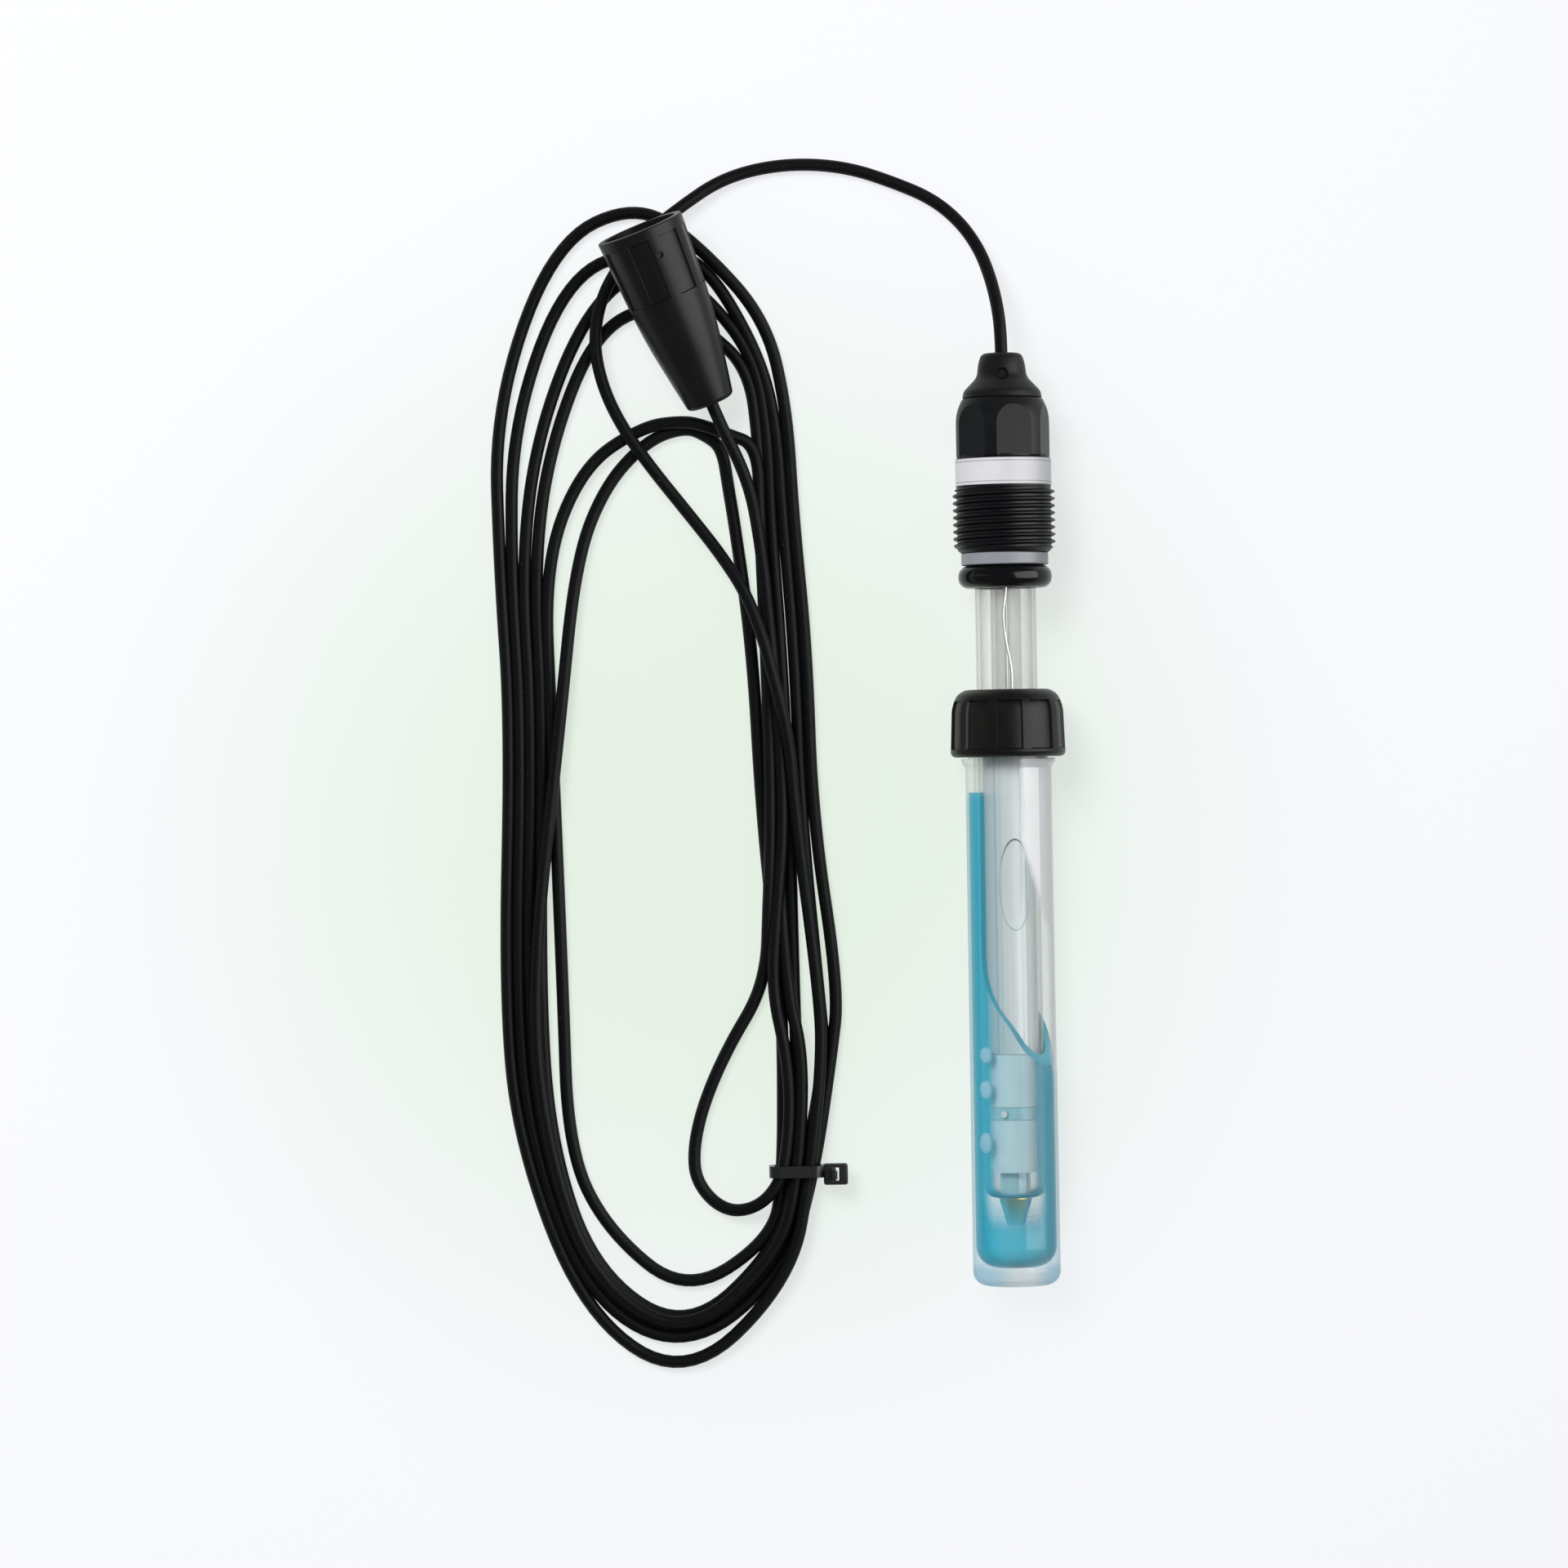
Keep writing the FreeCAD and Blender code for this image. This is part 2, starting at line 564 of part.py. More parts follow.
def cable_boot():
    """Moulded end of the head: a spigot in the cavity, a domed band and a tapered neck."""
    neck = BOOT_NECK_DIAMETER / 2
    tip = BOOT_TOP_DIAMETER / 2
    band = BOOT_BAND_DIAMETER / 2
    base = SHOULDER_DIAMETER / 2
    spigot = HEAD_CAVITY_DIAMETER / 2 - BOOT_FIT
    soft = BOOT_EDGE * (1 - math.sqrt(0.5))
    boot = lathe((0, HEX_TOP - BOOT_SPIGOT_LENGTH), [
        (spigot, HEX_TOP - BOOT_SPIGOT_LENGTH), (spigot, HEX_TOP), (base, HEX_TOP),
        ((base + band) / 2 + 0.4, HEX_TOP + BOOT_BAND_LENGTH * 0.55, band, BOOT_FLARE),
        ((band + neck) / 2 - 0.35, BOOT_FLARE + BOOT_FLARE_LENGTH * 0.4, neck, BOOT_NECK),
        (tip, BOOT_TOP - BOOT_EDGE),
        (tip - soft, BOOT_TOP - soft, tip - BOOT_EDGE, BOOT_TOP), (0, BOOT_TOP)])
    jacket = rod(CABLE_DIAMETER + 2 * PART_FIT, BOOT_TOP - CABLE_TUCK, BOOT_TOP + 1)
    cores = rod(CABLE_DIAMETER + 2 * PART_FIT, HEX_TOP - BOOT_SPIGOT_LENGTH - 1, BOOT_TOP - CABLE_TUCK)
    dimple = Part.makeCylinder(BOOT_DIMPLE_DIAMETER / 2, 5, Vector(0, BOOT_NECK - 0.2, neck - BOOT_DIMPLE_DEPTH),
                               Vector(0, 0, 1))
    return boot.cut(jacket).cut(cores).cut(dimple)


def cap_outline():
    """Outside of the storage cap, without its ribs: a barrel with rounded ends."""
    top = CAP_SHOULDER_DIAMETER / 2
    waist = CAP_WAIST_DIAMETER / 2
    widest = CAP_DIAMETER / 2
    foot = CAP_FOOT_EDGE
    soft = foot * (1 - math.sqrt(0.5))
    return [(top, CAP_TOP - 0.6, ),
            ((top + waist) / 2 + 0.55, CAP_TOP - CAP_SHOULDER_DROP * 0.42, waist, CAP_TOP - CAP_SHOULDER_DROP),
            (widest, CAP_BOTTOM + CAP_RIB_FOOT + foot),
            (widest, CAP_BOTTOM + foot),
            (widest - soft, CAP_BOTTOM + soft, widest - foot, CAP_BOTTOM)]


def storage_cap():
    """Screw cap on the shaft: a roof with a bore, a skirt and grip ribs between sunk panels."""
    shaft = SHAFT_DIAMETER / 2 + CAP_SHAFT_GAP
    skirt = NECK_DIAMETER / 2 + CAP_THREAD_GAP
    cap = lathe((shaft, CAP_TOP), [(CAP_SHOULDER_DIAMETER / 2 - 0.6, CAP_TOP)] + cap_outline() + [
        (skirt, CAP_BOTTOM), (skirt, CAP_CEILING), (shaft, CAP_CEILING)])
    groove_top = CAP_TOP - (CAP_ROOF - WIPER_WIDTH) / 2
    cap = cap.cut(sleeve(WIPER_DIAMETER, SHAFT_DIAMETER, groove_top - WIPER_WIDTH, groove_top))
    panel_bottom = CAP_BOTTOM + CAP_RIB_FOOT
    floor = CAP_WAIST_DIAMETER / 2 - CAP_RIB_DEPTH
    sunk = sleeve(CAP_DIAMETER + 4, 2 * floor, panel_bottom, panel_bottom + CAP_RIB_LENGTH)
    for index in range(CAP_RIB_COUNT):
        bar = Part.makeBox(CAP_RIB_WIDTH, CAP_RIB_LENGTH + 2, CAP_DIAMETER,
                           Vector(-CAP_RIB_WIDTH / 2, panel_bottom - 1, 0))
        bar.rotate(Vector(0, 0, 0), Vector(0, 1, 0), 90 - CAP_RIB_ANGLE + index * 360 / CAP_RIB_COUNT)
        sunk = sunk.cut(bar)
    return cap.cut(sunk)


def cap_wiper():
    """Rubber ring in the cap's roof that seals on the glass."""
    groove_top = CAP_TOP - (CAP_ROOF - WIPER_WIDTH) / 2
    inner = SHAFT_DIAMETER / 2 + WIPER_FIT
    outer = WIPER_DIAMETER / 2 - WIPER_FIT
    low = groove_top - WIPER_WIDTH + WIPER_FIT
    high = groove_top - WIPER_FIT
    return lathe((inner, (low + high) / 2), [(inner + 0.5, low), (outer, low), (outer, high), (inner + 0.5, high)])


def mouth_gasket():
    """Flat washer between the cap's roof and the tube's rim."""
    return sleeve(NECK_DIAMETER, SHAFT_DIAMETER + 2 * GASKET_SHAFT_GAP, NECK_TOP, CAP_CEILING)


def tube_wall_at(height):
    """Outer radius of the tube, which widens slightly towards its closed end."""
    run = SHOULDER_TOP - TUBE_SHOULDER_LENGTH - TUBE_END
    share = (SHOULDER_TOP - TUBE_SHOULDER_LENGTH - height) / run
    return (TUBE_TOP_DIAMETER + (TUBE_DIAMETER - TUBE_TOP_DIAMETER) * share) / 2


def bore_steps(radius, corner, end, start):
    """Inside of the tube from its start down to the rounded floor at the middle."""
    soft = corner * (1 - math.sqrt(0.5))
    return [(radius, start), (radius, end + corner),
            (radius - soft, end + soft, radius - corner, end), (0, end)]


def storage_tube():
    """Clear tube with a threaded neck, a shoulder, a stepped bore and a thick floor."""
    outer = TUBE_DIAMETER / 2
    soft = TUBE_CORNER * (1 - math.sqrt(0.5))
    neck = NECK_DIAMETER / 2
    shoulder = TUBE_SHOULDER_DIAMETER / 2
    step = SHOULDER_TOP - NECK_STEP
    inside = bore_steps(TUBE_BORE / 2, TUBE_BORE_CORNER, TUBE_END + TUBE_BASE, step)
    return lathe((0, TUBE_END), [
        (outer - TUBE_CORNER, TUBE_END),
        (outer - soft, TUBE_END + soft, tube_wall_at(TUBE_END + TUBE_CORNER), TUBE_END + TUBE_CORNER),
        (TUBE_TOP_DIAMETER / 2, SHOULDER_TOP - TUBE_SHOULDER_LENGTH),
        (shoulder - 0.2, SHOULDER_TOP - TUBE_SHOULDER_LENGTH + 0.9), (shoulder, SHOULDER_TOP - 0.3),
        (shoulder - 0.3, SHOULDER_TOP), (neck, SHOULDER_TOP), (neck, NECK_TOP),
        (NECK_BORE / 2, NECK_TOP), (NECK_BORE / 2, step)] + inside)


def storage_liquid():
    """Storage liquid round the tip, cut by the long air pocket under the upper wall."""
    top = SHOULDER_TOP - NECK_STEP - LIQUID_GAP
    floor = TUBE_END + TUBE_BASE + LIQUID_GAP
    outside = lathe((0, top), bore_steps(TUBE_BORE / 2 - LIQUID_GAP, TUBE_BORE_CORNER - LIQUID_GAP, floor, top))
    room = SHAFT_DIAMETER / 2 + LIQUID_SHAFT_GAP
    end = -SHAFT_LENGTH - LIQUID_SHAFT_GAP
    tip = TIP_DIAMETER / 2 + LIQUID_SHAFT_GAP
    cavity = lathe((0, top + 1), [
        (room, top + 1), (room, end), (tip, end), (tip, end - 0.5),
        (TIP_END_DIAMETER / 2 + LIQUID_SHAFT_GAP, end - TIP_LENGTH), (0, end - TIP_LENGTH)])
    crown = TUBE_BORE / 2
    air = Part.Face(Part.makePolygon([
        Vector(0, LIQUID_APEX, crown), Vector(0, top + 1, crown), Vector(0, top + 1, crown - LIQUID_DROP),
        Vector(0, LIQUID_APEX, crown)])).extrude(Vector(TUBE_BORE, 0, 0))
    air.translate(Vector(-TUBE_BORE / 2, 0, 0))
    return outside.cut(cavity).cut(air)


def plug_profile(inset, start, end):
    """Points of the connector's outside, moved inwards, between two places along it."""
    curve = Part.BSplineCurve()
    curve.interpolate([Vector(radius - inset, along, 0) for along, radius in PLUG_RADII])
    first = curve.intersectCC(Part.LineSegment(Vector(0, start, 0), Vector(20, start, 0)))
    last = curve.intersectCC(Part.LineSegment(Vector(0, end, 0), Vector(20, end, 0)))
    low = curve.parameter(Vector(first[0].X, first[0].Y, 0)) if first else curve.FirstParameter
    high = curve.parameter(Vector(last[0].X, last[0].Y, 0)) if last else curve.LastParameter
    return curve, low, high


def plug_turned(inset, start, end):
    """Solid of the connector's shape, moved inwards, between two places along it."""
    curve, low, high = plug_profile(inset, start, end)
    side = curve.toShape(low, high)
    foot = curve.value(low)
    head = curve.value(high)
    edges = [Part.LineSegment(Vector(0, foot.y, 0), foot).toShape(), side,
             Part.LineSegment(head, Vector(0, head.y, 0)).toShape(),
             Part.LineSegment(Vector(0, head.y, 0), Vector(0, foot.y, 0)).toShape()]
    return Part.Face(Part.Wire(edges)).revolve(Vector(0, 0, 0), Vector(0, 1, 0), 360)


def plug_shroud():
    """Tapered plastic cover of the connector, hollow, with grip ribs near its mouth."""
    shell = plug_turned(0, 0, PLUG_LENGTH)
    shell = round_edges(shell, PLUG_END_EDGE, lambda edge: edge.BoundBox.YMax < 0.01 and edge.Length > 25)
    rib_end = PLUG_LENGTH - PLUG_RIB_SETBACK
    rib_start = rib_end - PLUG_RIB_LENGTH
    sunk = sleeve(40, 2, rib_start, rib_end).cut(plug_turned(PLUG_RIB_DEPTH, rib_start - 4, PLUG_LENGTH))
    for index in range(PLUG_RIB_COUNT):
        bar = Part.makeBox(PLUG_RIB_WIDTH, PLUG_RIB_LENGTH + 2, 20, Vector(-PLUG_RIB_WIDTH / 2, rib_start - 1, 0))
        bar.rotate(Vector(0, 0, 0), Vector(0, 1, 0), 90 - PLUG_RIB_ANGLE + index * 360 / PLUG_RIB_COUNT)
        sunk = sunk.cut(bar)
    shell = shell.cut(sunk)
    shell = shell.cut(rod(CABLE_DIAMETER + 2 * PLUG_CABLE_GAP, -1, PLUG_LENGTH))
    mouth = PLUG_LENGTH - PLUG_MOUTH_DEPTH
    shell = shell.cut(rod(BAYONET_DIAMETER + 2 * PART_FIT, mouth, PLUG_LENGTH + 1))
    shell = shell.cut(plug_turned(PLUG_WALL + 1.4, PLUG_CAVITY_START, mouth + 0.01))
    hole = spoke(PLUG_HOLE_DIAMETER, PLUG_RADII[-1][1] - 1.0, 12, rib_end - PLUG_HOLE_SETBACK, PLUG_RIB_ANGLE)
    return shell.cut(hole)


def bayonet_ring():
    """Metal coupling ring with two slanted slots for the studs of a socket."""
    front = PLUG_LENGTH - BAYONET_SETBACK
    ring = sleeve(BAYONET_DIAMETER, BAYONET_BORE, front - BAYONET_LENGTH, front)
    steps = 6
    for side in (0, 180):
        for step in range(steps + 1):
            depth = BAYONET_SLOT_DEPTH * step / steps
            angle = side + BAYONET_SLOT_TURN * max(0.0, step / steps - 0.3) / 0.7
            ring = ring.cut(spoke(BAYONET_SLOT_WIDTH, BAYONET_BORE / 2 - 1, BAYONET_DIAMETER, front - depth, angle))
    return ring


def contact_face():
    """Place along the connector of the flange that the coupling ring turns on."""
    return PLUG_LENGTH - BAYONET_SETBACK - BAYONET_LENGTH


def contact_body():
    """Metal outer contact: a mating sleeve, a flange and a rear barrel."""
    front = PLUG_LENGTH - CONTACT_SETBACK
    back = contact_face()
    flange = BAYONET_BORE / 2 - CONTACT_FLANGE_CLEARANCE
    rear = back - CONTACT_REAR_LENGTH
    bore = CONTACT_BORE / 2
    insulator = INSULATOR_DIAMETER / 2 + PART_FIT
    return lathe((insulator, rear), [
        (CONTACT_REAR_DIAMETER / 2, rear), (CONTACT_REAR_DIAMETER / 2, back + 0.2), (flange, back + 0.2),
        (flange, back + 0.2 + CONTACT_FLANGE_LENGTH), (CONTACT_DIAMETER / 2, back + 0.2 + CONTACT_FLANGE_LENGTH),
        (CONTACT_DIAMETER / 2, front), (bore, front), (bore, back + CONTACT_FLANGE_LENGTH),
        (insulator, back + CONTACT_FLANGE_LENGTH)])


def contact_seal():
    """Rubber ring on the mating sleeve, against its flange."""
    bottom = contact_face() + 0.2 + CONTACT_FLANGE_LENGTH
    return sleeve(BAYONET_BORE - 1.2, CONTACT_DIAMETER + 2 * PART_FIT, bottom, bottom + PLUG_SEAL_WIDTH)


def contact_insulator():
    """White insulator round the pin."""
    rear = contact_face() - CONTACT_REAR_LENGTH + PART_FIT
    return sleeve(INSULATOR_DIAMETER, PIN_DIAMETER + 2 * PART_FIT, rear, PLUG_LENGTH - CONTACT_SETBACK - 3.4)


def centre_pin():
    """Signal pin, rounded at its nose."""
    nose = PLUG_LENGTH - CONTACT_SETBACK - 0.6
    radius = PIN_DIAMETER / 2
    return lathe((0, nose - PIN_LENGTH), [
        (radius, nose - PIN_LENGTH), (radius, nose - radius),
        (radius * math.sqrt(0.5), nose - radius + radius * math.sqrt(0.5), 0, nose)])


def crimp_sleeve():
    """Sleeve that clamps the cable behind the contact."""
    front = contact_face() - CONTACT_REAR_LENGTH
    return sleeve(CRIMP_DIAMETER, CABLE_DIAMETER + 2 * PART_FIT, front - CRIMP_LENGTH, front)


def cable_lead():
    """Cable from inside the boot to where it joins the coil."""
    inside = Vector(0, SEAT_Y + BOOT_TOP - CABLE_TUCK, AXIS_HEIGHT)
    free = Vector(0, SEAT_Y + BOOT_TOP + CABLE_STRAIGHT, AXIS_HEIGHT)
    return cord_tube("lead", [inside, free] + LEAD_POINTS, CABLE_DIAMETER)


def cable_tail():
    """Cable from the coil up into the connector."""
    ahead = (PLUG_FRONT - PLUG_REAR).normalize()
    clamped = contact_face() - CONTACT_REAR_LENGTH - 0.5
    return cord_tube("tail", TAIL_POINTS + [PLUG_REAR + ahead * 1.5, PLUG_REAR + ahead * clamped], CABLE_DIAMETER)


def closed_curve(points):
    """Smooth closed outline through points."""
    curve = Part.BSplineCurve()
    curve.interpolate([Vector(x, y, 0) for x, y in points], PeriodicFlag=True)
    return Part.Wire(curve.toShape())


def tie_box(left, right, bottom, top, width):
    """Box across the tie's place."""
    return Part.makeBox(right - left, width, top - bottom, Vector(left, TIE_HEIGHT - width / 2, bottom))


def cable_coil():
    """Outer shape of the coiled turns, lower where they spread out below the connector."""
    coil = Part.Face(closed_curve(COIL_OUTER)).extrude(Vector(0, 0, COIL_HEIGHT))
    hollow = Part.Face(closed_curve(COIL_INNER)).extrude(Vector(0, 0, COIL_HEIGHT + 2))
    coil = coil.cut(hollow.translated(Vector(0, 0, -1)))
    box = coil.BoundBox
    left = box.XMin - 1
    over = COIL_HEIGHT + 1
    spare = Part.Face(Part.makePolygon([
        Vector(left, COIL_SLOPE_START, COIL_HEIGHT), Vector(left, COIL_SLOPE_END, COIL_LOW_HEIGHT),
        Vector(left, box.YMax + 1, COIL_LOW_HEIGHT), Vector(left, box.YMax + 1, over),
        Vector(left, COIL_SLOPE_START, over), Vector(left, COIL_SLOPE_START, COIL_HEIGHT)]))
    coil = coil.cut(spare.extrude(Vector(box.XLength + 2, 0, 0)))
    gap = TIE_CLEARANCE
    under = tie_box(TIE_LEFT - gap, TIE_RIGHT + gap, -gap, TIE_THICKNESS + gap, TIE_WIDTH + 2 * gap)
    return coil.cut(under)


def cable_tie():
    """Nylon strap round the turns, with its locking block and the cut end of the strap."""
    outside = tie_box(TIE_LEFT, TIE_RIGHT, 0, TIE_TOP, TIE_WIDTH)
    outside = round_edges(outside, 1.6, lambda edge: abs(edge.BoundBox.YLength - TIE_WIDTH) < 0.01)
    inside = tie_box(TIE_LEFT + TIE_THICKNESS, TIE_RIGHT - TIE_THICKNESS, TIE_THICKNESS,
                     TIE_TOP - TIE_THICKNESS, TIE_WIDTH + 2)
    block = Part.makeBox(TIE_BLOCK_WIDTH, TIE_BLOCK_LENGTH, TIE_BLOCK_HEIGHT,
                         Vector(TIE_RIGHT - 0.5, TIE_HEIGHT - TIE_BLOCK_LENGTH / 2, 3.0))
    end = Part.makeBox(TIE_TAIL_THICKNESS, TIE_WIDTH, TIE_TAIL_LENGTH + TIE_BLOCK_HEIGHT,
                       Vector(TIE_RIGHT + 1.1, TIE_HEIGHT - TIE_WIDTH / 2, 3.0))
    return outside.cut(inside).fuse(block).fuse(end).removeSplitter()


def build():
    """Every node of the part, by name."""
    nodes = {
        "glass_shaft": on_electrode(glass_shaft()),
        "inner_stem": on_electrode(inner_stem()),
        "gold_tip": on_electrode(gold_tip()),
        "signal_wire": on_electrode(signal_wire()),
        "reference_wire": on_electrode(reference_wire()),
        "chloride_coating": on_electrode(chloride_coating()),
        "annulus_stopper": on_electrode(annulus_stopper()),
        "gel_electrolyte": on_electrode(gel_electrolyte()),
        "salt_ring_upper": on_electrode(shaft_fill(SALT_RING_TOP - SALT_RING_LENGTH, SALT_RING_TOP)),
        "salt_ring_lower": on_electrode(shaft_fill(SALT_RING_LOWER_TOP - SALT_RING_LENGTH, SALT_RING_LOWER_TOP)),
        "junction_band": on_electrode(junction_band()),
        "head_seal": on_electrode(head_seal()),
        "thrust_ring": on_electrode(thrust_ring()),
        "head_body": on_electrode(head_body()),
        "label_band": on_electrode(label_band()),
        "head_potting": on_electrode(head_potting()),
        "signal_ferrule": on_electrode(ferrule(0)),
        "reference_ferrule": on_electrode(ferrule(annulus_radius())),
        "signal_conductor": on_electrode(conductor("signal conductor", 0, -CORE_SPREAD)),
        "reference_conductor": on_electrode(
            conductor("reference conductor", annulus_radius(), CORE_SPREAD)),
        "cable_boot": on_electrode(cable_boot()),
        "storage_cap": on_electrode(storage_cap()),
        "cap_wiper": on_electrode(cap_wiper()),
        "mouth_gasket": on_electrode(mouth_gasket()),
        "storage_tube": on_electrode(storage_tube()),
        "storage_liquid": on_electrode(storage_liquid()),
        "plug_shroud": on_plug(plug_shroud()),
        "bayonet_ring": on_plug(bayonet_ring()),
        "contact_body": on_plug(contact_body()),
        "contact_seal": on_plug(contact_seal()),
        "contact_insulator": on_plug(contact_insulator()),
        "centre_pin": on_plug(centre_pin()),
        "crimp_sleeve": on_plug(crimp_sleeve()),
        "cable_lead": cable_lead(),
        "cable_coil": cable_coil(),
        "cable_loop": cord_tube("loop", LOOP_POINTS, CABLE_DIAMETER),
        "cable_tail": cable_tail(),
        "cable_tie": cable_tie(),
    }
    for index in range(FRIT_COUNT):
        nodes["ceramic_junction_%d" % (index + 1)] = on_electrode(frit(index))
    return nodes


os.makedirs("parts", exist_ok=True)
for name, shape in build().items():
    solids = shape.Solids
    print(name, "solids", len(solids), "valid", shape.isValid(), "volume %.1f" % shape.Volume)
    (solids[0] if len(solids) == 1 else shape).exportStep("parts/%s.step" % name)
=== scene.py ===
import math

import bmesh
import bpy
from bpy.props import FloatProperty, FloatVectorProperty, IntProperty, PointerProperty
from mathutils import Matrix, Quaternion, Vector


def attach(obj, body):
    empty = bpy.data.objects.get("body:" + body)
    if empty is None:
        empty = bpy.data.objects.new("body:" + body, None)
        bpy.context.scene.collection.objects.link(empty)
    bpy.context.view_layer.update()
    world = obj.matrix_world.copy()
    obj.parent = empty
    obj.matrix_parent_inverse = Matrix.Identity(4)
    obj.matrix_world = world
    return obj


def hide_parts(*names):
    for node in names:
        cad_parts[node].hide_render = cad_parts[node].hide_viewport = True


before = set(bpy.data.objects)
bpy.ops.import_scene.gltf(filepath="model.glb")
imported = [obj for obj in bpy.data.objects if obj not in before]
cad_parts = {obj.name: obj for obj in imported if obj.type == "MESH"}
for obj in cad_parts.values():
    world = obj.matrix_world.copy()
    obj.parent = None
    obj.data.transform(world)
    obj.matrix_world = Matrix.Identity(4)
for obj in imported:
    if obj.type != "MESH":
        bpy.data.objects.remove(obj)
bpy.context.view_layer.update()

bl_info = {
    "name": "Redox electrode",
    "version": (1, 0, 0),
    "blender": (4, 5, 0),
    "location": "View3D > Sidebar > Electrode",
    "description": "Models a redox electrode with its storage tube and coiled cable round a packed frame",
    "category": "Add Mesh",
}

MM = 0.001

# Where the electrode's seat and axis lie. Heights are in millimetres from that seat, up towards the cable.
SEAT_Y = 45.6
AXIS_HEIGHT = 11.35

# Screw head and boot
HEAD_FOOT, COLLAR_FOOT, HEX_FOOT, HEX_TOP = 7.0, 19.9, 25.8, 37.4
BOOT_FLARE, BOOT_NECK, BOOT_TOP = 40.3, 41.9, 46.4
HEX_FLATS, HEX_TURN = 17.2, 13.0
LABEL_MIDDLE = (COLLAR_FOOT + HEX_FOOT) / 2

# Storage cap and tube
CAP_TOP, CAP_CEILING, NECK_TOP, CAP_FOOT, SHOULDER = -20.0, -23.4, -24.6, -33.3, -33.6
TUBE_END = -137.6
SHAFT_END = -120.0
GEL_FOOT, GEL_TOP = -91.9, -27.0
LIQUID_TOP, POCKET_FOOT = -40.25, -94.5
NECK_PITCH = 2.5
# How far, in degrees, the air over the storage liquid leans to the right
AIR_LEAN = 58.0
# Middle of the bubble in the gel: across, along and up from the axis
BUBBLE_PLACE = (0.8, -58.5, 5.1)
# Where the stem comes out of the salt rings, and where the painted reflection on the tube begins, narrows
# and ends
STEM_BARE = -112.5
GLARE_TOP, GLARE_WAIST, GLARE_FOOT = -48.0, -70.0, -96.5

# Connector: the middle of its cable end, and of its mouth
PLUG_REAR = Vector((-57.5, 83.4, 7.9))
PLUG_FRONT = Vector((-71.1, 118.1, 14.6))
PLUG_LENGTH = 37.5
# where a rib and the vent are, in degrees round the connector
PLUG_VENT = 77.0
# how far inside the connector the cable's last two points lie
CABLE_DEPTHS = (1.5, 18.8)

# Camera and floor: middle of the picture in metres, its turn in degrees, and the floor's tint and glow
VIEW_CENTRE = (-0.04436, 0.0077)
VIEW_TURN = -0.985
SENSOR_WIDTH = 36
TINT_CENTRE = (-0.06, 0.0, 0.0)
TINT_INNER, TINT_OUTER = 0.02, 0.15
FLOOR_GLOW, GLOW_SHARE = 1.13, 0.72
ROOM_LIGHT = 0.26
LAMP_TARGET = Vector((-0.03, 0, 0))

# Cable, in millimetres: from the boot to the coil, the free loop below it, and the end to the connector
LEAD_ROUTE = [
    (0.0, 90.5, 11.35), (0.0, 95.5, 11.35), (-0.5, 101.2, 10.0), (-1.7, 107.2, 7.4),
    (-3.8, 113.4, 4.4), (-7.6, 119.2, 2.0), (-13.0, 123.8, 1.3), (-20.2, 127.0, 1.3),
    (-29.0, 130.1, 1.3), (-38.4, 131.2, 1.3), (-47.6, 130.4, 1.3), (-55.6, 127.8, 2.0),
    (-62.6, 123.0, 3.5), (-69.2, 118.0, 3.9), (-75.0, 112.0, 3.9), (-79.2, 104.6, 3.9),
    (-80.7, 96.2, 3.9), (-79.2, 87.6, 3.9), (-75.4, 79.2, 4.0), (-69.4, 70.6, 3.9),
    (-62.8, 62.2, 3.6), (-56.5, 54.0, 4.4), (-51.4, 46.0, 5.8), (-48.2, 37.4, 6.4),
    (-46.0, 28.6, 6.5), (-43.2, 17.0, 5.0),
]
LOOP_ROUTE = [
    (-48.0, -19.0, 3.2), (-48.4, -27.5, 2.0), (-50.6, -35.2, 1.3), (-55.4, -42.9, 1.3),
    (-59.4, -50.8, 1.3), (-62.2, -58.2, 1.3), (-63.6, -65.0, 1.3), (-63.3, -70.6, 1.3),
    (-59.9, -75.4, 1.3), (-55.3, -77.4, 2.4), (-49.9, -75.6, 4.5), (-46.2, -70.8, 4.7),
    (-45.0, -64.9, 4.6), (-44.2, -56.0, 4.1),
]
TAIL_ROUTE = [
    (-44.8, -46.0, 3.8), (-47.5, -33.0, 3.7), (-46.2, -17.0, 3.7), (-44.4, 1.3, 3.6),
    (-45.8, 28.0, 3.6), (-46.8, 40.0, 3.6), (-47.5, 48.6, 4.1), (-48.5, 57.2, 4.5),
    (-49.8, 65.2, 4.9), (-52.2, 72.0, 5.7), (-55.0, 77.6, 6.9),
]

# Coil, in millimetres: places round it, clockwise from the top right, each as the middle of the inner and of
# the outer strand
COIL_PLACES = [
    (-56.0, 73.4, -47.3, 99.8), (-54.4, 66.5, -42.9, 82.0), (-53.4, 57.9, -41.5, 60.0),
    (-50.9, 33.6, -39.5, 33.6), (-49.3, 1.3, -38.5, 1.3), (-48.2, -31.0, -34.8, -31.5),
    (-45.6, -47.3, -36.2, -47.5), (-45.65, -69.3, -39.55, -69.3), (-49.6, -82.2, -46.3, -90.3),
    (-65.4, -91.3, -65.7, -107.4), (-80.2, -79.9, -85.1, -94.8), (-87.8, -62.6, -97.4, -62.5),
    (-89.1, -30.3, -100.2, -30.0), (-88.3, 18.0, -98.9, 18.2), (-84.6, 50.3, -100.0, 50.5),
    (-78.3, 66.0, -99.4, 83.2), (-70.6, 75.8, -87.9, 113.6), (-63.2, 78.6, -71.6, 122.0),
    (-58.9, 77.2, -58.8, 113.6),
]
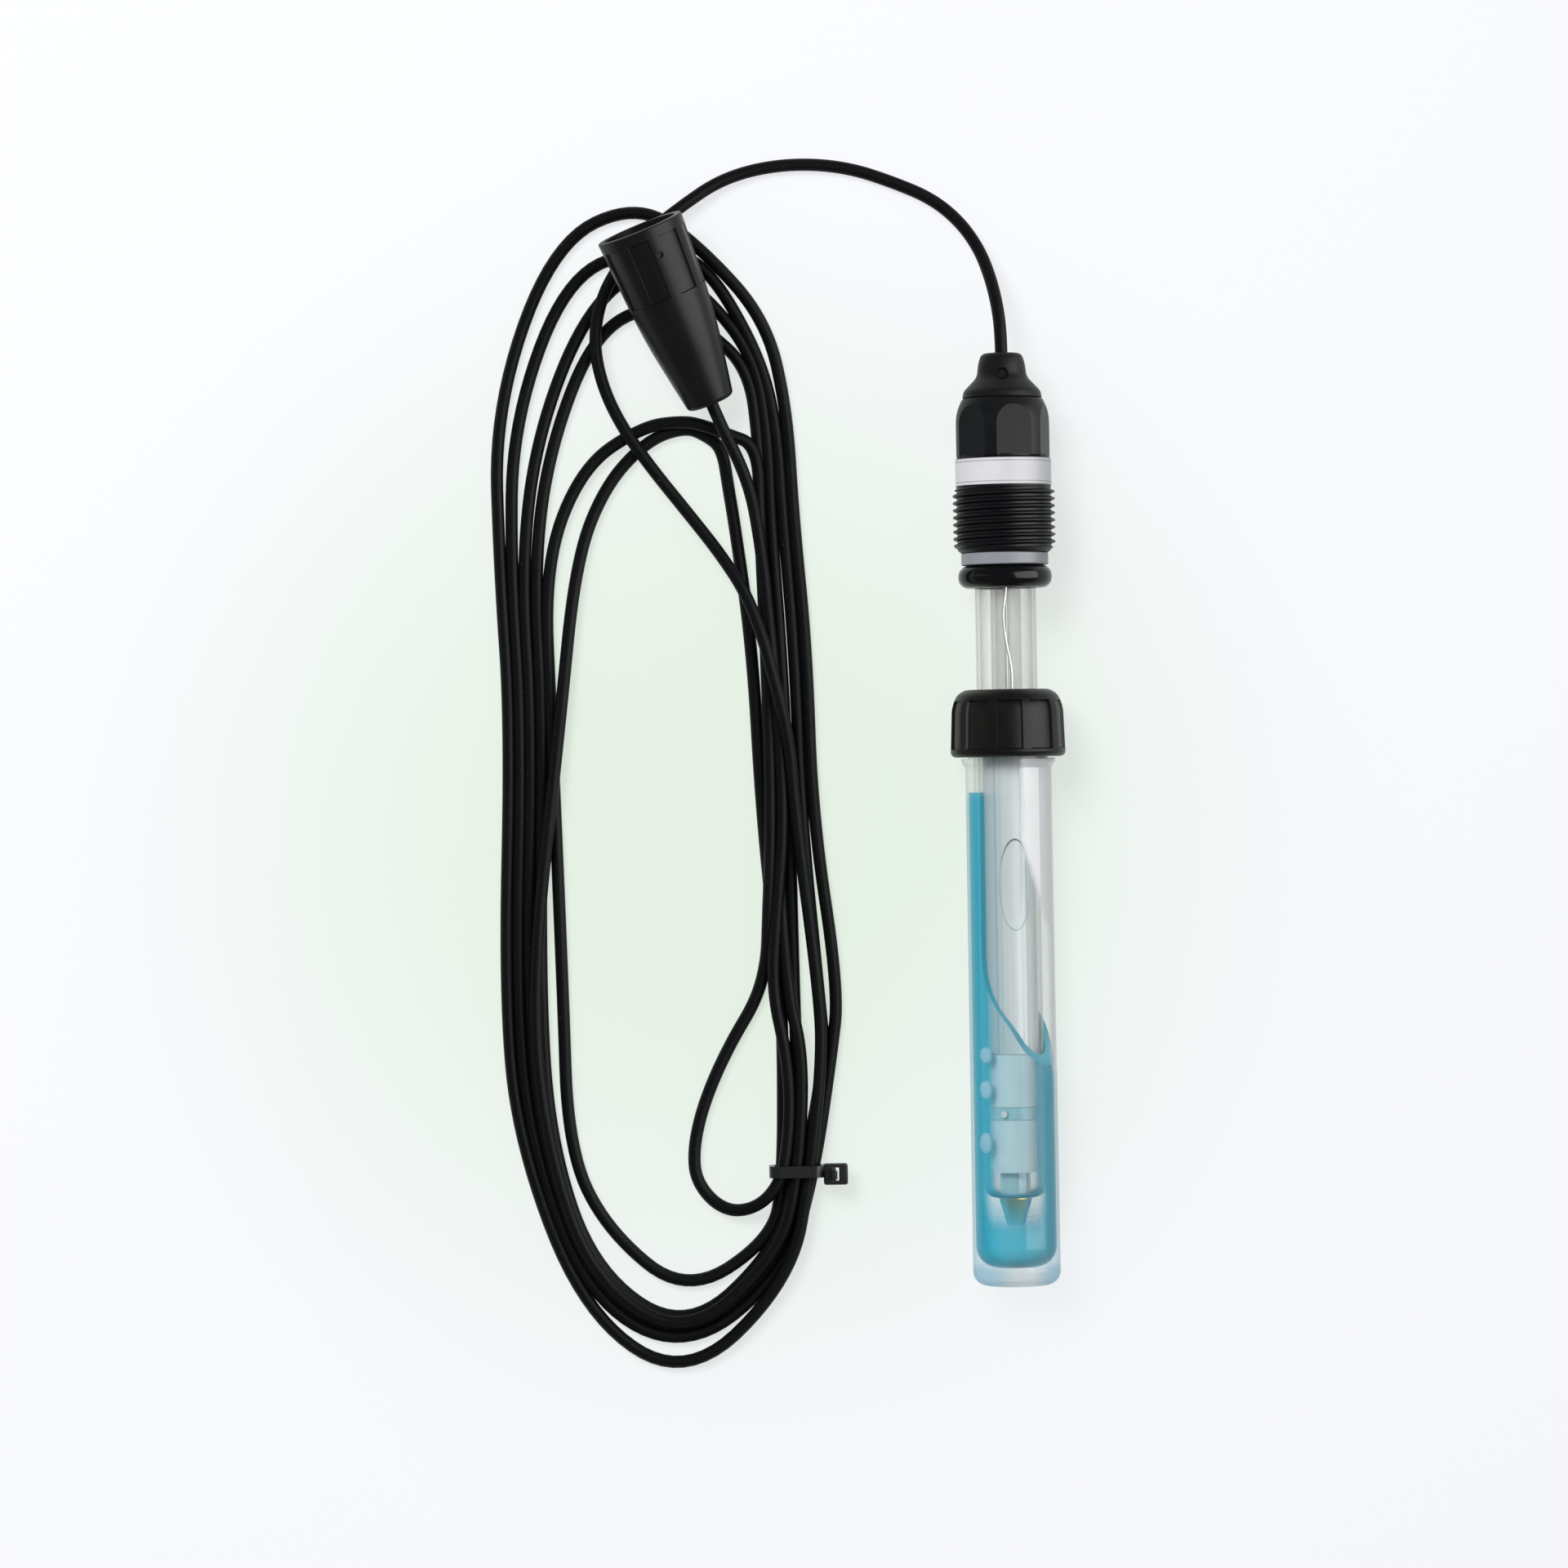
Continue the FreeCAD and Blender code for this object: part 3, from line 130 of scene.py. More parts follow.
# For each turn, how far out it runs at those places, in hundredths from the inner strand to the outer one
TURN_SPREADS = [
    [None] * 4 + [66, 72, 80, 80] + [100] * 11,
    [100] * 7 + [92, 80, 68, 81, 76, 79, 79, 85, 84, 84, 81, 92],
    [80, 82, 82, 79, 78, 73, 84, 59, 54, 55, 66, 54, 59, 59, 70, 64, 66, 74, 76],
    [73, 67, 62, 56, 54, 38, 28, 20, 28, 44, 50, 36, 38, 38, 54, 52, 55, 56, 58],
    [62, 52, 46, 34, 31, 28, 40, 38.5, 40, 50, 58, 44, 48, 6, 2, 3, 0, 0, 0],
    [3, 0, 2, 5, 5, 16, 0, -10, 0, 0, 0, 0, 0, 19, 38, 23, 7, 3, 5],
    [15, 47, 43, 30, 22],
]
# and how high its middle lies there, where that isn't the flat height
TURN_HEIGHTS = [
    {4: 3.45, 5: 3.85, 6: 4.1, 7: 4.55, 8: 3.6, 18: 2.4},
    {6: 1.6, 7: 2.4, 8: 1.5},
    {6: 1.6, 7: 2.4},
    {6: 1.6, 7: 2.4},
    {5: 3.45, 6: 3.75, 7: 4.55, 8: 3.6, 9: 3.45, 10: 3.45, 11: 3.45, 12: 3.6, 13: 3.6, 14: 1.8},
    {6: 1.6, 7: 2.4, 14: 1.6, 15: 1.6, 16: 2.2, 17: 3.6, 18: 3.8},
    {0: 3.4, 1: 2.2, 2: 3.3, 3: 3.45, 4: 3.45},
]
FLAT_HEIGHT = 1.3
# how far the spline's points stand outside the places, as a share of the bend there
OVERSHOOT = 0.125


def length(name, description, default):
    """A length property, in metres."""
    return FloatProperty(name=name, description=description, default=default, unit="LENGTH")


def colour(name, description, *shade):
    """A colour property, as linear red, green and blue."""
    return FloatVectorProperty(
        name=name, description=description, default=shade, subtype="COLOR", min=0, max=1)


class ElectrodeSizes(bpy.types.PropertyGroup):
    """Sizes that shape the visible detail."""

    cable_diameter: length("Cable diameter", "Outside of the cable's jacket", 0.0025)
    cable_length: length("Cable length", "Real length of the cable, end to end", 3.2)
    thread_pitch: length("Thread pitch", "Distance between two crests of the head's thread", 1.41 * MM)
    turning_steps: IntProperty(
        name="Turning steps", description="Faces round a turned piece", default=96, min=24, max=192)
    edge_angle: FloatProperty(
        name="Edge angle", description="Edges sharper than this stay crisp in the shading",
        default=math.radians(20), subtype="ANGLE")
    view_width: length("View width", "Width of the picture at the electrode's axis", 0.3097)
    view_distance: length("View distance", "Height of the camera above the electrode's axis", 1.2)


class ElectrodeColours(bpy.types.PropertyGroup):
    """Colours of the finishes."""

    floor: colour("Floor", "Pale surface that the electrode lies on", 0.91, 0.915, 0.95)
    floor_middle: colour("Floor, middle", "The same surface round its middle", 0.76, 0.845, 0.745)
    head: colour("Head plastic", "Moulded plastic of the head", 0.0045, 0.0052, 0.0062)
    cap: colour("Cap plastic", "Moulded plastic of the storage cap", 0.0060, 0.0052, 0.0044)
    boot: colour("Boot", "Soft moulding where the cable enters", 0.0055, 0.0058, 0.0065)
    jacket: colour("Cable jacket", "Soft plastic jacket of the cable", 0.0032, 0.0034, 0.0036)
    rubber: colour("Rubber", "Sealing rings", 0.0022, 0.0025, 0.0030)
    ring: colour("Slip ring", "Hard grey ring under the head", 0.33, 0.34, 0.37)
    label: colour("Label", "Bare film round the collar", 0.82, 0.81, 0.83)
    glass: colour("Glass", "Clear glass of the shaft and stem", 0.80, 0.77, 0.72)
    tube: colour("Tube", "Clear plastic of the storage tube", 0.80, 0.86, 0.90)
    liquid: colour("Storage liquid", "Tinted storage liquid", 0.02, 0.45, 0.60)
    gold: colour("Gold", "Sensing tip", 0.90, 0.62, 0.16)
    plug: colour("Connector cover", "Moulded plastic of the connector", 0.0048, 0.0048, 0.0048)


class Term:
    """An output socket in an expression: each operator on it adds a Math node."""

    def __init__(self, finish, socket):
        self.finish = finish
        self.socket = socket

    def __add__(self, other):
        return self.finish.math("ADD", self, other)

    def __sub__(self, other):
        return self.finish.math("SUBTRACT", self, other)

    def __mul__(self, other):
        return self.finish.math("MULTIPLY", self, other)

    def __pow__(self, other):
        return self.finish.math("POWER", self, other)

    def __rsub__(self, other):
        return self.finish.math("SUBTRACT", other, self)

    def __abs__(self):
        return self.finish.math("ABSOLUTE", self)

    __radd__ = __add__
    __rmul__ = __mul__


class Finish:
    """A material in the making: one Principled shader and the nodes that feed it."""

    def __init__(self, name, shader):
        self.material = bpy.data.materials.new(name)
        self.material.use_nodes = True
        self.tree = self.material.node_tree
        self.tree.nodes.clear()
        self.shader = self.tree.nodes.new("ShaderNodeBsdfPrincipled")
        output = self.tree.nodes.new("ShaderNodeOutputMaterial")
        self.tree.links.new(self.shader.outputs["BSDF"], output.inputs["Surface"])
        self.place = self.node("TexCoord", {})["Object"]
        self.feed(shader)

    def plug_in(self, node, sockets):
        """Sets or links a node's inputs, each named by its identifier."""
        for name, value in sockets.items():
            socket = next(s for s in node.inputs if s.identifier == name)
            if isinstance(value, Term):
                self.tree.links.new(value.socket, socket)
            elif socket.type == "RGBA":
                socket.default_value = (*value, 1)
            else:
                socket.default_value = value

    def node(self, kind, sockets, **settings):
        """Adds a shader node with its settings, then its inputs, and returns its outputs by identifier."""
        node = self.tree.nodes.new("ShaderNode" + kind)
        for name, value in settings.items():
            setattr(node, name, value)
        self.plug_in(node, sockets)
        return {s.identifier: Term(self, s) for s in node.outputs}

    def feed(self, sockets):
        """Sets or links the shader's own sockets."""
        self.plug_in(self.shader, sockets)

    def math(self, operation, first, second=0.0):
        """One Math node."""
        sockets = {"Value": first, "Value_001": second}
        return self.node("Math", sockets, operation=operation)["Value"]

    def noise(self, scale, detail, roughness=0.5, vector=None):
        """Soft noise from 0 to 1, in grains per metre."""
        sockets = {"Vector": vector or self.place, "Scale": scale, "Detail": detail, "Roughness": roughness}
        return self.node("TexNoise", sockets)["Fac"]

    def streaks(self, along, across, detail=3.0, roughness=0.6):
        """Noise with its own grains per metre along the electrode's axis and across it."""
        sockets = {"Vector": self.place, "Scale": (across, along, across)}
        stretched = self.node("Mapping", sockets)["Vector"]
        return self.noise(1.0, detail, roughness, stretched)

    def steps(self, value, low, high):
        """0 at low and 1 at high, smooth between them and level beyond."""
        sockets = {"Value": value, "From Min": low, "From Max": high}
        return self.node("MapRange", sockets, interpolation_type="SMOOTHSTEP")["Result"]

    def tint(self, factor, first, second):
        """Colour between two colours."""
        sockets = {"Factor_Float": factor, "A_Color": first, "B_Color": second}
        return self.node("Mix", sockets, data_type="RGBA")["Result_Color"]

    def bump(self, height, depth, strength):
        """Feeds a height, as a share of a depth in metres, to the shader's normal."""
        made = self.node("Bump", {"Height": height, "Distance": depth, "Strength": strength})
        self.feed({"Normal": made["Normal"]})

    def facing(self):
        """0 where the surface faces the eye, 1 at its rim."""
        return self.node("LayerWeight", {"Blend": 0.5})["Facing"]

    def shown(self, alpha):
        """Feeds an alpha, and lets most of the light through on its way to what lies behind."""
        shadow = self.node("LightPath", {})["Is Shadow Ray"]
        self.feed({"Alpha": alpha * (1 - shadow * 0.85)})

    def parts(self):
        """Object coordinates apart, in metres."""
        split = self.node("SeparateXYZ", {"Vector": self.place})
        return split["X"], split["Y"], split["Z"]


def at(height):
    """Where a height above the seat lies in the frame, in metres."""
    return (SEAT_Y + height) * MM


def scaled(shade, factor):
    """A colour made darker or lighter."""
    return tuple(min(1.0, channel * factor) for channel in shade)


def moulded_plastic(name, shade, roughness, speckle=0.5):
    """Dark moulded plastic: a fine grain, soft mottling, and paler rubbed spots."""
    finish = Finish(name, {"Specular IOR Level": 0.2})
    grain = finish.noise(2600.0, 2.0)
    cloud = finish.noise(160.0, 4.0, 0.6)
    rub = finish.steps(finish.noise(420.0, 5.0, 0.7), 0.56, 0.74)
    body = finish.tint(cloud, scaled(shade, 0.72), scaled(shade, 1.45))
    body = finish.tint(rub * (0.4 * speckle), body, scaled(shade, 5.0))
    finish.feed({"Base Color": body, "Roughness": cloud * 0.16 + grain * 0.10 + (roughness - 0.12)})
    finish.bump(grain * 0.7 + cloud * 0.3, 0.00004, 0.5)
    return finish.material


def cable_jacket(name, shade):
    """Soft jacket: matt with a faint sheen, a fine grain, soft mottling and a little dust."""
    finish = Finish(name, {"Specular IOR Level": 0.13})
    cloud = finish.noise(95.0, 4.0, 0.6)
    grain = finish.noise(3200.0, 2.0)
    dust = finish.steps(finish.noise(1500.0, 2.0, 0.4), 0.70, 0.78)
    body = finish.tint(cloud, scaled(shade, 0.75), scaled(shade, 1.5))
    body = finish.tint(dust * 0.18, body, (0.12, 0.12, 0.12))
    finish.feed({"Base Color": body, "Roughness": cloud * 0.14 + grain * 0.08 + 0.38})
    finish.bump(grain, 0.00003, 0.4)
    return finish.material


def sealing_rubber(name, shade, roughness=0.16):
    """Glossy rubber with faint bloom."""
    finish = Finish(name, {"Specular IOR Level": 0.22})
    cloud = finish.noise(240.0, 4.0, 0.6)
    bloom = finish.steps(cloud, 0.5, 0.8)
    finish.feed({
        "Base Color": finish.tint(bloom, shade, scaled(shade, 2.6)),
        "Roughness": bloom * 0.18 + roughness,
    })
    finish.bump(finish.noise(900.0, 3.0), 0.00003, 0.35)
    return finish.material


def pale_plastic(name, shade):
    """Light hard plastic with faint turning marks and soft dirt."""
    finish = Finish(name, {"Specular IOR Level": 0.5})
    marks = finish.streaks(2200.0, 60.0)
    dirt = finish.steps(finish.noise(300.0, 4.0, 0.6), 0.52, 0.8)
    body = finish.tint(marks * 0.35, shade, scaled(shade, 0.82))
    body = finish.tint(dirt * 0.35, body, scaled(shade, 0.6))
    finish.feed({"Base Color": body, "Roughness": marks * 0.15 + dirt * 0.15 + 0.35})
    finish.bump(marks, 0.00003, 0.4)
    return finish.material


def label_film(name, shade):
    """Bare film: satin white, a thin grey line along each edge, slightly rubbed."""
    finish = Finish(name, {"Specular IOR Level": 0.5})
    along = finish.parts()[1]
    off = abs(along - at(LABEL_MIDDLE))
    line = finish.steps(abs(off - 2.02 * MM), 0.14 * MM, 0.08 * MM)
    cloud = finish.noise(220.0, 4.0, 0.6)
    body = finish.tint(cloud, scaled(shade, 0.9), scaled(shade, 1.08))
    body = finish.tint(line * 0.55, body, (0.22, 0.22, 0.24))
    finish.feed({"Base Color": body, "Roughness": cloud * 0.2 + 0.35})
    finish.bump(finish.noise(150.0, 2.0), 0.00008, 0.3)
    return finish.material


def clear_glass(name, shade, middle, rim, ior=1.9):
    """Clear glass or a film, denser towards its rim, where one looks along the wall."""
    finish = Finish(name, {"IOR": ior, "Roughness": 0.03})
    edge = finish.facing() ** 2.0
    cloud = finish.noise(120.0, 3.0, 0.6)
    finish.feed({"Base Color": finish.tint(edge, shade, scaled(shade, 0.72))})
    finish.shown(edge * (rim - middle) + cloud * (middle * 0.4) + middle * 0.8)
    finish.bump(finish.noise(60.0, 2.0), 0.0001, 0.15)
    return finish.material


def stem_glass(name, shade):
    """Glass of the stem: clear, and tinted by the liquid round it where it shows below the salt rings."""
    finish = Finish(name, {"IOR": 1.9, "Roughness": 0.03})
    edge = finish.facing() ** 2.0
    low = finish.steps(finish.parts()[1], at(STEM_BARE), at(STEM_BARE - 1.5))
    streak = finish.streaks(20.0, 1400.0)
    tinted = finish.tint(streak, (0.24, 0.62, 0.70), (0.62, 0.84, 0.86))
    clear = finish.tint(edge, shade, scaled(shade, 0.72))
    finish.feed({"Base Color": finish.tint(low, clear, tinted)})
    finish.shown(edge * 0.5 + low * 0.55 + 0.28)
    return finish.material


def tube_plastic(name, shade):
    """Clear plastic of the tube: denser along its rims, with a painted white reflection down the right of
    its front.
    """
    finish = Finish(name, {"IOR": 1.5, "Roughness": 0.03})
    across, along, height = finish.parts()
    edge = finish.facing() ** 3.2
    cloud = finish.noise(120.0, 3.0, 0.6)
    left = finish.steps(along, at(GLARE_TOP), at(GLARE_WAIST)) * 5.2 + 1.3
    wander = finish.streaks(90.0, 90.0) * 2.4 - 1.2
    front = finish.steps(height, (AXIS_HEIGHT + 1.0) * MM, (AXIS_HEIGHT + 3.0) * MM)
    low = finish.steps(along, at(GLARE_FOOT), at(GLARE_FOOT + 3.5))
    # painted reflection: a white, nearly opaque band down the right of the front, standing in for the window
    # mirrored in the wall
    painted_glare = finish.steps(across * (1 / MM) + wander - left, 0.0, 1.6) * front * low
    base = finish.steps(along, at(TUBE_END + 5.0), at(TUBE_END + 2.5))
    body = finish.tint(edge, shade, scaled(shade, 0.72))
    body = finish.tint(base * 0.8, body, (0.40, 0.53, 0.55))
    wet_left = finish.steps(along, at(LIQUID_TOP + 1.25), at(LIQUID_TOP - 1.75))
    wet_left = wet_left * finish.steps(across, 1.0 * MM, -6.0 * MM)
    wet_right = finish.steps(along, at(POCKET_FOOT + 1.5), at(POCKET_FOOT - 2.5))
    wet = wet_left + wet_right * finish.steps(across, 2.5 * MM, 7.0 * MM)
    body = finish.tint(wet * 0.85, body, (0.01, 0.48, 0.70))
    finish.feed({"Base Color": finish.tint(painted_glare * 0.95, body, (1.0, 1.0, 1.0))})
    finish.shown(edge * 0.54 + cloud * 0.03 + painted_glare * 0.84 + base * 0.22 + wet * 0.12 + 0.06)
    finish.bump(finish.noise(60.0, 2.0), 0.0001, 0.15)
    return finish.material


def tinted_liquid(name, shade):
    """Tinted water: pale over the shaft, deep at the sides and in the bulk below the shaft, with painted
    light making it paler towards the right.
    """
    finish = Finish(name, {"IOR": 1.33, "Roughness": 0.04})
    side = finish.steps(finish.facing(), 0.14, 0.50)
    across, along = finish.parts()[:2]
    bulk = finish.steps(along, at(SHAFT_END + 1), at(SHAFT_END - 9))
    foot = finish.steps(along, at(SHAFT_END - 4), at(SHAFT_END - 8))
    swirl = finish.streaks(25.0, 160.0, 3.0, 0.5)
    # painted light: the liquid turns paler towards the right, as if lit from that side
    right = finish.steps(across, -2.0 * MM, 7.0 * MM)
    deep = finish.tint(swirl, shade, scaled(shade, 0.78))
    deep = finish.tint(right * 0.5, deep, (0.16, 0.66, 0.80))
    body = finish.tint(side * 0.85 + bulk * 0.6, (0.10, 0.62, 0.78), deep)
    finish.feed({"Base Color": body})
    finish.shown(side * 0.95 + bulk * 0.58 + foot * 0.30 + swirl * 0.08 + 0.05)
    return finish.material


def milky_gel(name, shade):
    """Thick pale gel round the stem, streaked, with darker lines where the stem's walls show through, and
    painted light that makes it paler towards the right.
    """
    finish = Finish(name, {"Roughness": 0.25, "Specular IOR Level": 0.5})
    across = finish.parts()[0] * (1 / MM)
    off = abs(across)
    wall = finish.steps(abs(off - 3.0), 0.35, 0.12)
    bore = finish.steps(abs(off - 2.0), 0.22, 0.08)
    # painted light: the gel turns paler towards the right, as if lit from that side, between a darker and a
    # lighter copy of its colour
    light = finish.steps(across, -4.5, 3.0)
    streak = finish.streaks(9.0, 900.0, 4.0)
    body = finish.tint(light, scaled(shade, 0.74), scaled(shade, 1.36))
    body = finish.tint(streak * 0.55, body, scaled(shade, 0.56))
    body = finish.tint(wall * 0.55 + bore * 0.25, body, (0.20, 0.33, 0.36))
    finish.feed({"Base Color": body})
    finish.bump(streak, 0.0001, 0.3)
    return finish.material


def bubble_edge(name):
    """Edge of the bubble in the gel: painted shade gives it a dark arc at its top, and a paler one stays at
    its foot.
    """
    finish = Finish(name, {"IOR": 1.6, "Roughness": 0.1})
    along = finish.parts()[1]
    # painted shade: the top arc of the edge is darkened
    top = finish.steps(along, -0.010, -0.0045)
    finish.feed({"Base Color": finish.tint(top, (0.30, 0.48, 0.50), (0.02, 0.06, 0.07))})
    finish.shown(top * 0.35 + 0.6)
    return finish.material


def bare_metal(name, shade, roughness):
    """Bare metal with brushed marks and slight tarnish."""
    finish = Finish(name, {"Metallic": 1.0})
    brush = finish.streaks(400.0, 400.0, 4.0)
    tarnish = finish.steps(finish.noise(260.0, 4.0, 0.65), 0.5, 0.85)
    finish.feed({
        "Base Color": finish.tint(tarnish * 0.6, shade, scaled(shade, 0.6)),
        "Roughness": brush * 0.15 + tarnish * 0.2 + roughness,
    })
    finish.bump(brush, 0.00003, 0.4)
    return finish.material


def frosted_salt(name, shade):
    """Pressed salt or porous ceramic: milky, with fine crystals and paler patches."""
    glow = {"Subsurface Weight": 0.1, "Subsurface Radius": (0.002, 0.002, 0.002)}
    finish = Finish(name, {**glow, "Roughness": 0.55})
    crystals = finish.noise(1700.0, 4.0, 0.7)
    cloud = finish.noise(260.0, 4.0, 0.6)
    finish.feed({"Base Color": finish.tint(cloud, scaled(shade, 0.84), scaled(shade, 1.1))})
    finish.bump(crystals, 0.00005, 0.4)
    return finish.material


def satin_resin(name, shade, roughness=0.4):
    """Cast resin, nylon or an insulated core, slightly uneven."""
    finish = Finish(name, {"Specular IOR Level": 0.5})
    cloud = finish.noise(420.0, 4.0, 0.6)
    finish.feed({
        "Base Color": finish.tint(cloud, scaled(shade, 0.75), scaled(shade, 1.3)),
        "Roughness": cloud * 0.2 + (roughness - 0.1),
    })
    finish.bump(finish.noise(1800.0, 2.0), 0.00003, 0.4)
    return finish.material


def in_metres(place):
    """A place or a size in millimetres, as a vector in metres."""
    return Vector([value * MM for value in place])


def apply_modifiers(piece):
    """Applies all modifiers of the active piece, in order."""
    for modifier in list(piece.modifiers):
        bpy.ops.object.modifier_apply(modifier=modifier.name)


def take_up(piece):
    """Makes a piece the only selected and the active one."""
    bpy.ops.object.select_all(action="DESELECT")
    piece.select_set(True)
    bpy.context.view_layer.objects.active = piece


def mode(kind):
    """Goes over to edit mode or object mode."""
    bpy.ops.object.mode_set(mode=kind)


def take_all():
    """Selects the whole mesh in edit mode."""
    bpy.ops.mesh.select_all(action="SELECT")


def choose(piece, test, kind="faces"):
    """In edit mode, selects only the faces or vertices that a test picks."""
    bpy.ops.mesh.select_all(action="DESELECT")
    bpy.ops.mesh.select_mode(type={"faces": "FACE", "verts": "VERT"}[kind])
    mesh = bmesh.from_edit_mesh(piece.data)
    for part in getattr(mesh, kind):
        part.select_set(bool(test(part)))
    mesh.select_flush_mode()
    bmesh.update_edit_mesh(piece.data)


def close_up():
    """Turns all faces outwards and leaves edit mode."""
    take_all()
    bpy.ops.mesh.normals_make_consistent(inside=False)
    mode("OBJECT")


def drawn_outline(name, corners, closed):
    """An outline in the XY plane, its corners as radius, height and perhaps a rounding, in millimetres."""
    bpy.ops.mesh.primitive_plane_add(size=MM, location=(corners[0][0] * MM, corners[0][1] * MM, 0))
    piece = bpy.context.object
    piece.name = name
    bpy.ops.object.transform_apply()
    mode("EDIT")
    bpy.ops.mesh.select_mode(type="VERT")
    bpy.ops.mesh.merge(type="CENTER")
    for here, there in zip(corners, corners[1:] + corners[:1] * closed):
        step = ((there[0] - here[0]) * MM, (there[1] - here[1]) * MM, 0)
        bpy.ops.mesh.extrude_region_move(TRANSFORM_OT_translate={"value": step})
    take_all()
    bpy.ops.mesh.remove_doubles(threshold=1e-7)
    for corner in corners:
        if len(corner) == 3:
            spot = Vector((corner[0] * MM, corner[1] * MM, 0))
            choose(piece, lambda vertex: (vertex.co - spot).length < 1e-6, "verts")
            bpy.ops.mesh.bevel(offset=corner[2] * MM, affect="VERTICES", segments=6, profile=0.5)
    take_all()
    return piece


def turned(name, corners, closed=True, steps=None, turn=0.0):
    """A piece turned about the Y axis from an outline."""
    piece = drawn_outline(name, corners, closed)
    steps = steps or bpy.context.scene.electrode_sizes.turning_steps
    bpy.ops.mesh.spin(steps=steps, angle=math.tau, center=(0, 0, 0), axis=(0, 1, 0))
    take_all()
    bpy.ops.mesh.remove_doubles(threshold=2e-6)
    close_up()
    if turn:
        piece.rotation_euler[1] = math.radians(turn)
        bpy.ops.object.transform_apply()
    return piece


def slab(name, corners, width, rim=0.0):
    """An outline filled and pulled out along Z to a width in millimetres, or only a rim of it that wide."""
    piece = drawn_outline(name, corners, True)
    bpy.ops.mesh.edge_face_add()
    if rim:
        bpy.ops.mesh.inset(thickness=rim * MM)
        bpy.ops.mesh.delete(type="FACE")
        take_all()
    bpy.ops.transform.translate(value=(0, 0, -width / 2 * MM))
    bpy.ops.mesh.extrude_region_move(TRANSFORM_OT_translate={"value": (0, 0, width * MM)})
    close_up()
    return piece


def helix(name, section, pitch, turns):
    """A closed section wound about the Y axis, with its ends closed."""
    piece = drawn_outline(name, section, True)
    mode("OBJECT")
    screw = piece.modifiers.new("Wind", "SCREW")
    screw.axis = "Y"
    screw.screw_offset = pitch
    screw.iterations = turns
    screw.steps = screw.render_steps = 72
    screw.use_merge_vertices = True
    apply_modifiers(piece)
    mode("EDIT")
    take_all()
    bpy.ops.mesh.fill_holes(sides=0)
    close_up()
    return piece


def neck_thread(name, root, crest, middle):
    """The thread round the storage tube's neck, or the one in the cap that takes it."""
    section = [(root, middle - 0.5), (crest, middle - 0.1), (crest, middle + 0.1), (root, middle + 0.5)]
    return helix(name, section, NECK_PITCH * MM, 2)


def combined(piece, tool, operation):
    """Cuts a tool from a piece, joins it on, or keeps what both share, and takes the tool away."""
    take_up(piece)
    boolean = piece.modifiers.new("Combine", "BOOLEAN")
    boolean.operation = operation
    boolean.solver = "EXACT"
    boolean.object = tool
    apply_modifiers(piece)
    bpy.data.objects.remove(tool)
    return piece


def begun(name, scale):
    """The primitive just added, named, scaled and all selected in edit mode."""
    piece = bpy.context.object
    piece.name = name
    piece.scale = scale
    bpy.ops.object.transform_apply()
    mode("EDIT")
    take_all()
    return piece


def block(name, size, place, rounding, segments=3):
    """A box in millimetres with rounded edges."""
    bpy.ops.mesh.primitive_cube_add(size=1, location=in_metres(place))
    piece = begun(name, in_metres(size))
    bpy.ops.mesh.bevel(offset=rounding * MM, segments=segments, profile=0.5)
    mode("OBJECT")
    return piece


def ellipsoid(name, radii):
    """A ball stretched to three radii in millimetres, smoother than the primitive it starts from."""
    bpy.ops.mesh.primitive_uv_sphere_add(segments=32, ring_count=16, radius=MM)
    piece = begun(name, radii)
    bpy.ops.mesh.subdivide(smoothness=1)
    mode("OBJECT")
    return piece


def settle(piece, place, turn=None):
    """Moves a piece from its own axis to where it lies, into its mesh."""
    take_up(piece)
    piece.location = in_metres(place)
    if turn:
        piece.rotation_mode = "QUATERNION"
        piece.rotation_quaternion = turn
    bpy.ops.object.transform_apply()


def press_panels(piece, rib_angle, spacing, half_rib, low, high, reach, rim, depth):
    """Presses panels into a wall and leaves even ribs: angles in degrees, sizes in millimetres."""
    def in_panel(face):
        middle = face.calc_center_median() / MM
        angle = math.degrees(math.atan2(middle.z, middle.x))
        off = (angle - rib_angle + spacing / 2) % spacing - spacing / 2
        return abs(off) > half_rib and low < middle.y < high and middle.xz.length > reach

    mode("EDIT")
    choose(piece, in_panel)
    bpy.ops.mesh.inset(thickness=rim * MM, use_boundary=True)
    bpy.ops.transform.shrink_fatten(value=-depth * MM)
    mode("OBJECT")


def finish_piece(piece, material, body, slot, *nodes):
    """Shades and finishes a piece, hangs it on its body, and hides the CAD nodes it stands for."""
    take_up(piece)
    piece.data.materials.clear()
    piece.data.materials.append(material)
    if piece.type == "MESH":
        bpy.ops.object.shade_smooth_by_angle(angle=bpy.context.scene.electrode_sizes.edge_angle)
        normals = piece.modifiers.new("Flat faces", "WEIGHTED_NORMAL")
        normals.keep_sharp = True
        apply_modifiers(piece)
    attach(piece, body)
    if nodes:
        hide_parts(*nodes)


def lay_piece(piece, *looks):
    """Lays down a piece that was made about the electrode's own axis, and finishes it."""
    settle(piece, (0, SEAT_Y, AXIS_HEIGHT))
    finish_piece(piece, *looks)


def dress(material, *nodes):
    """Gives CAD nodes that stay a better finish."""
    for name in nodes:
        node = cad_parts[name]
        node.data.materials.clear()
        node.data.materials.append(material)


class ElectrodeOperator:
    """What the operators share."""

    bl_options = {"REGISTER", "UNDO"}

    @property
    def sizes(self):
        return bpy.context.scene.electrode_sizes

    @property
    def colours(self):
        return bpy.context.scene.electrode_colours


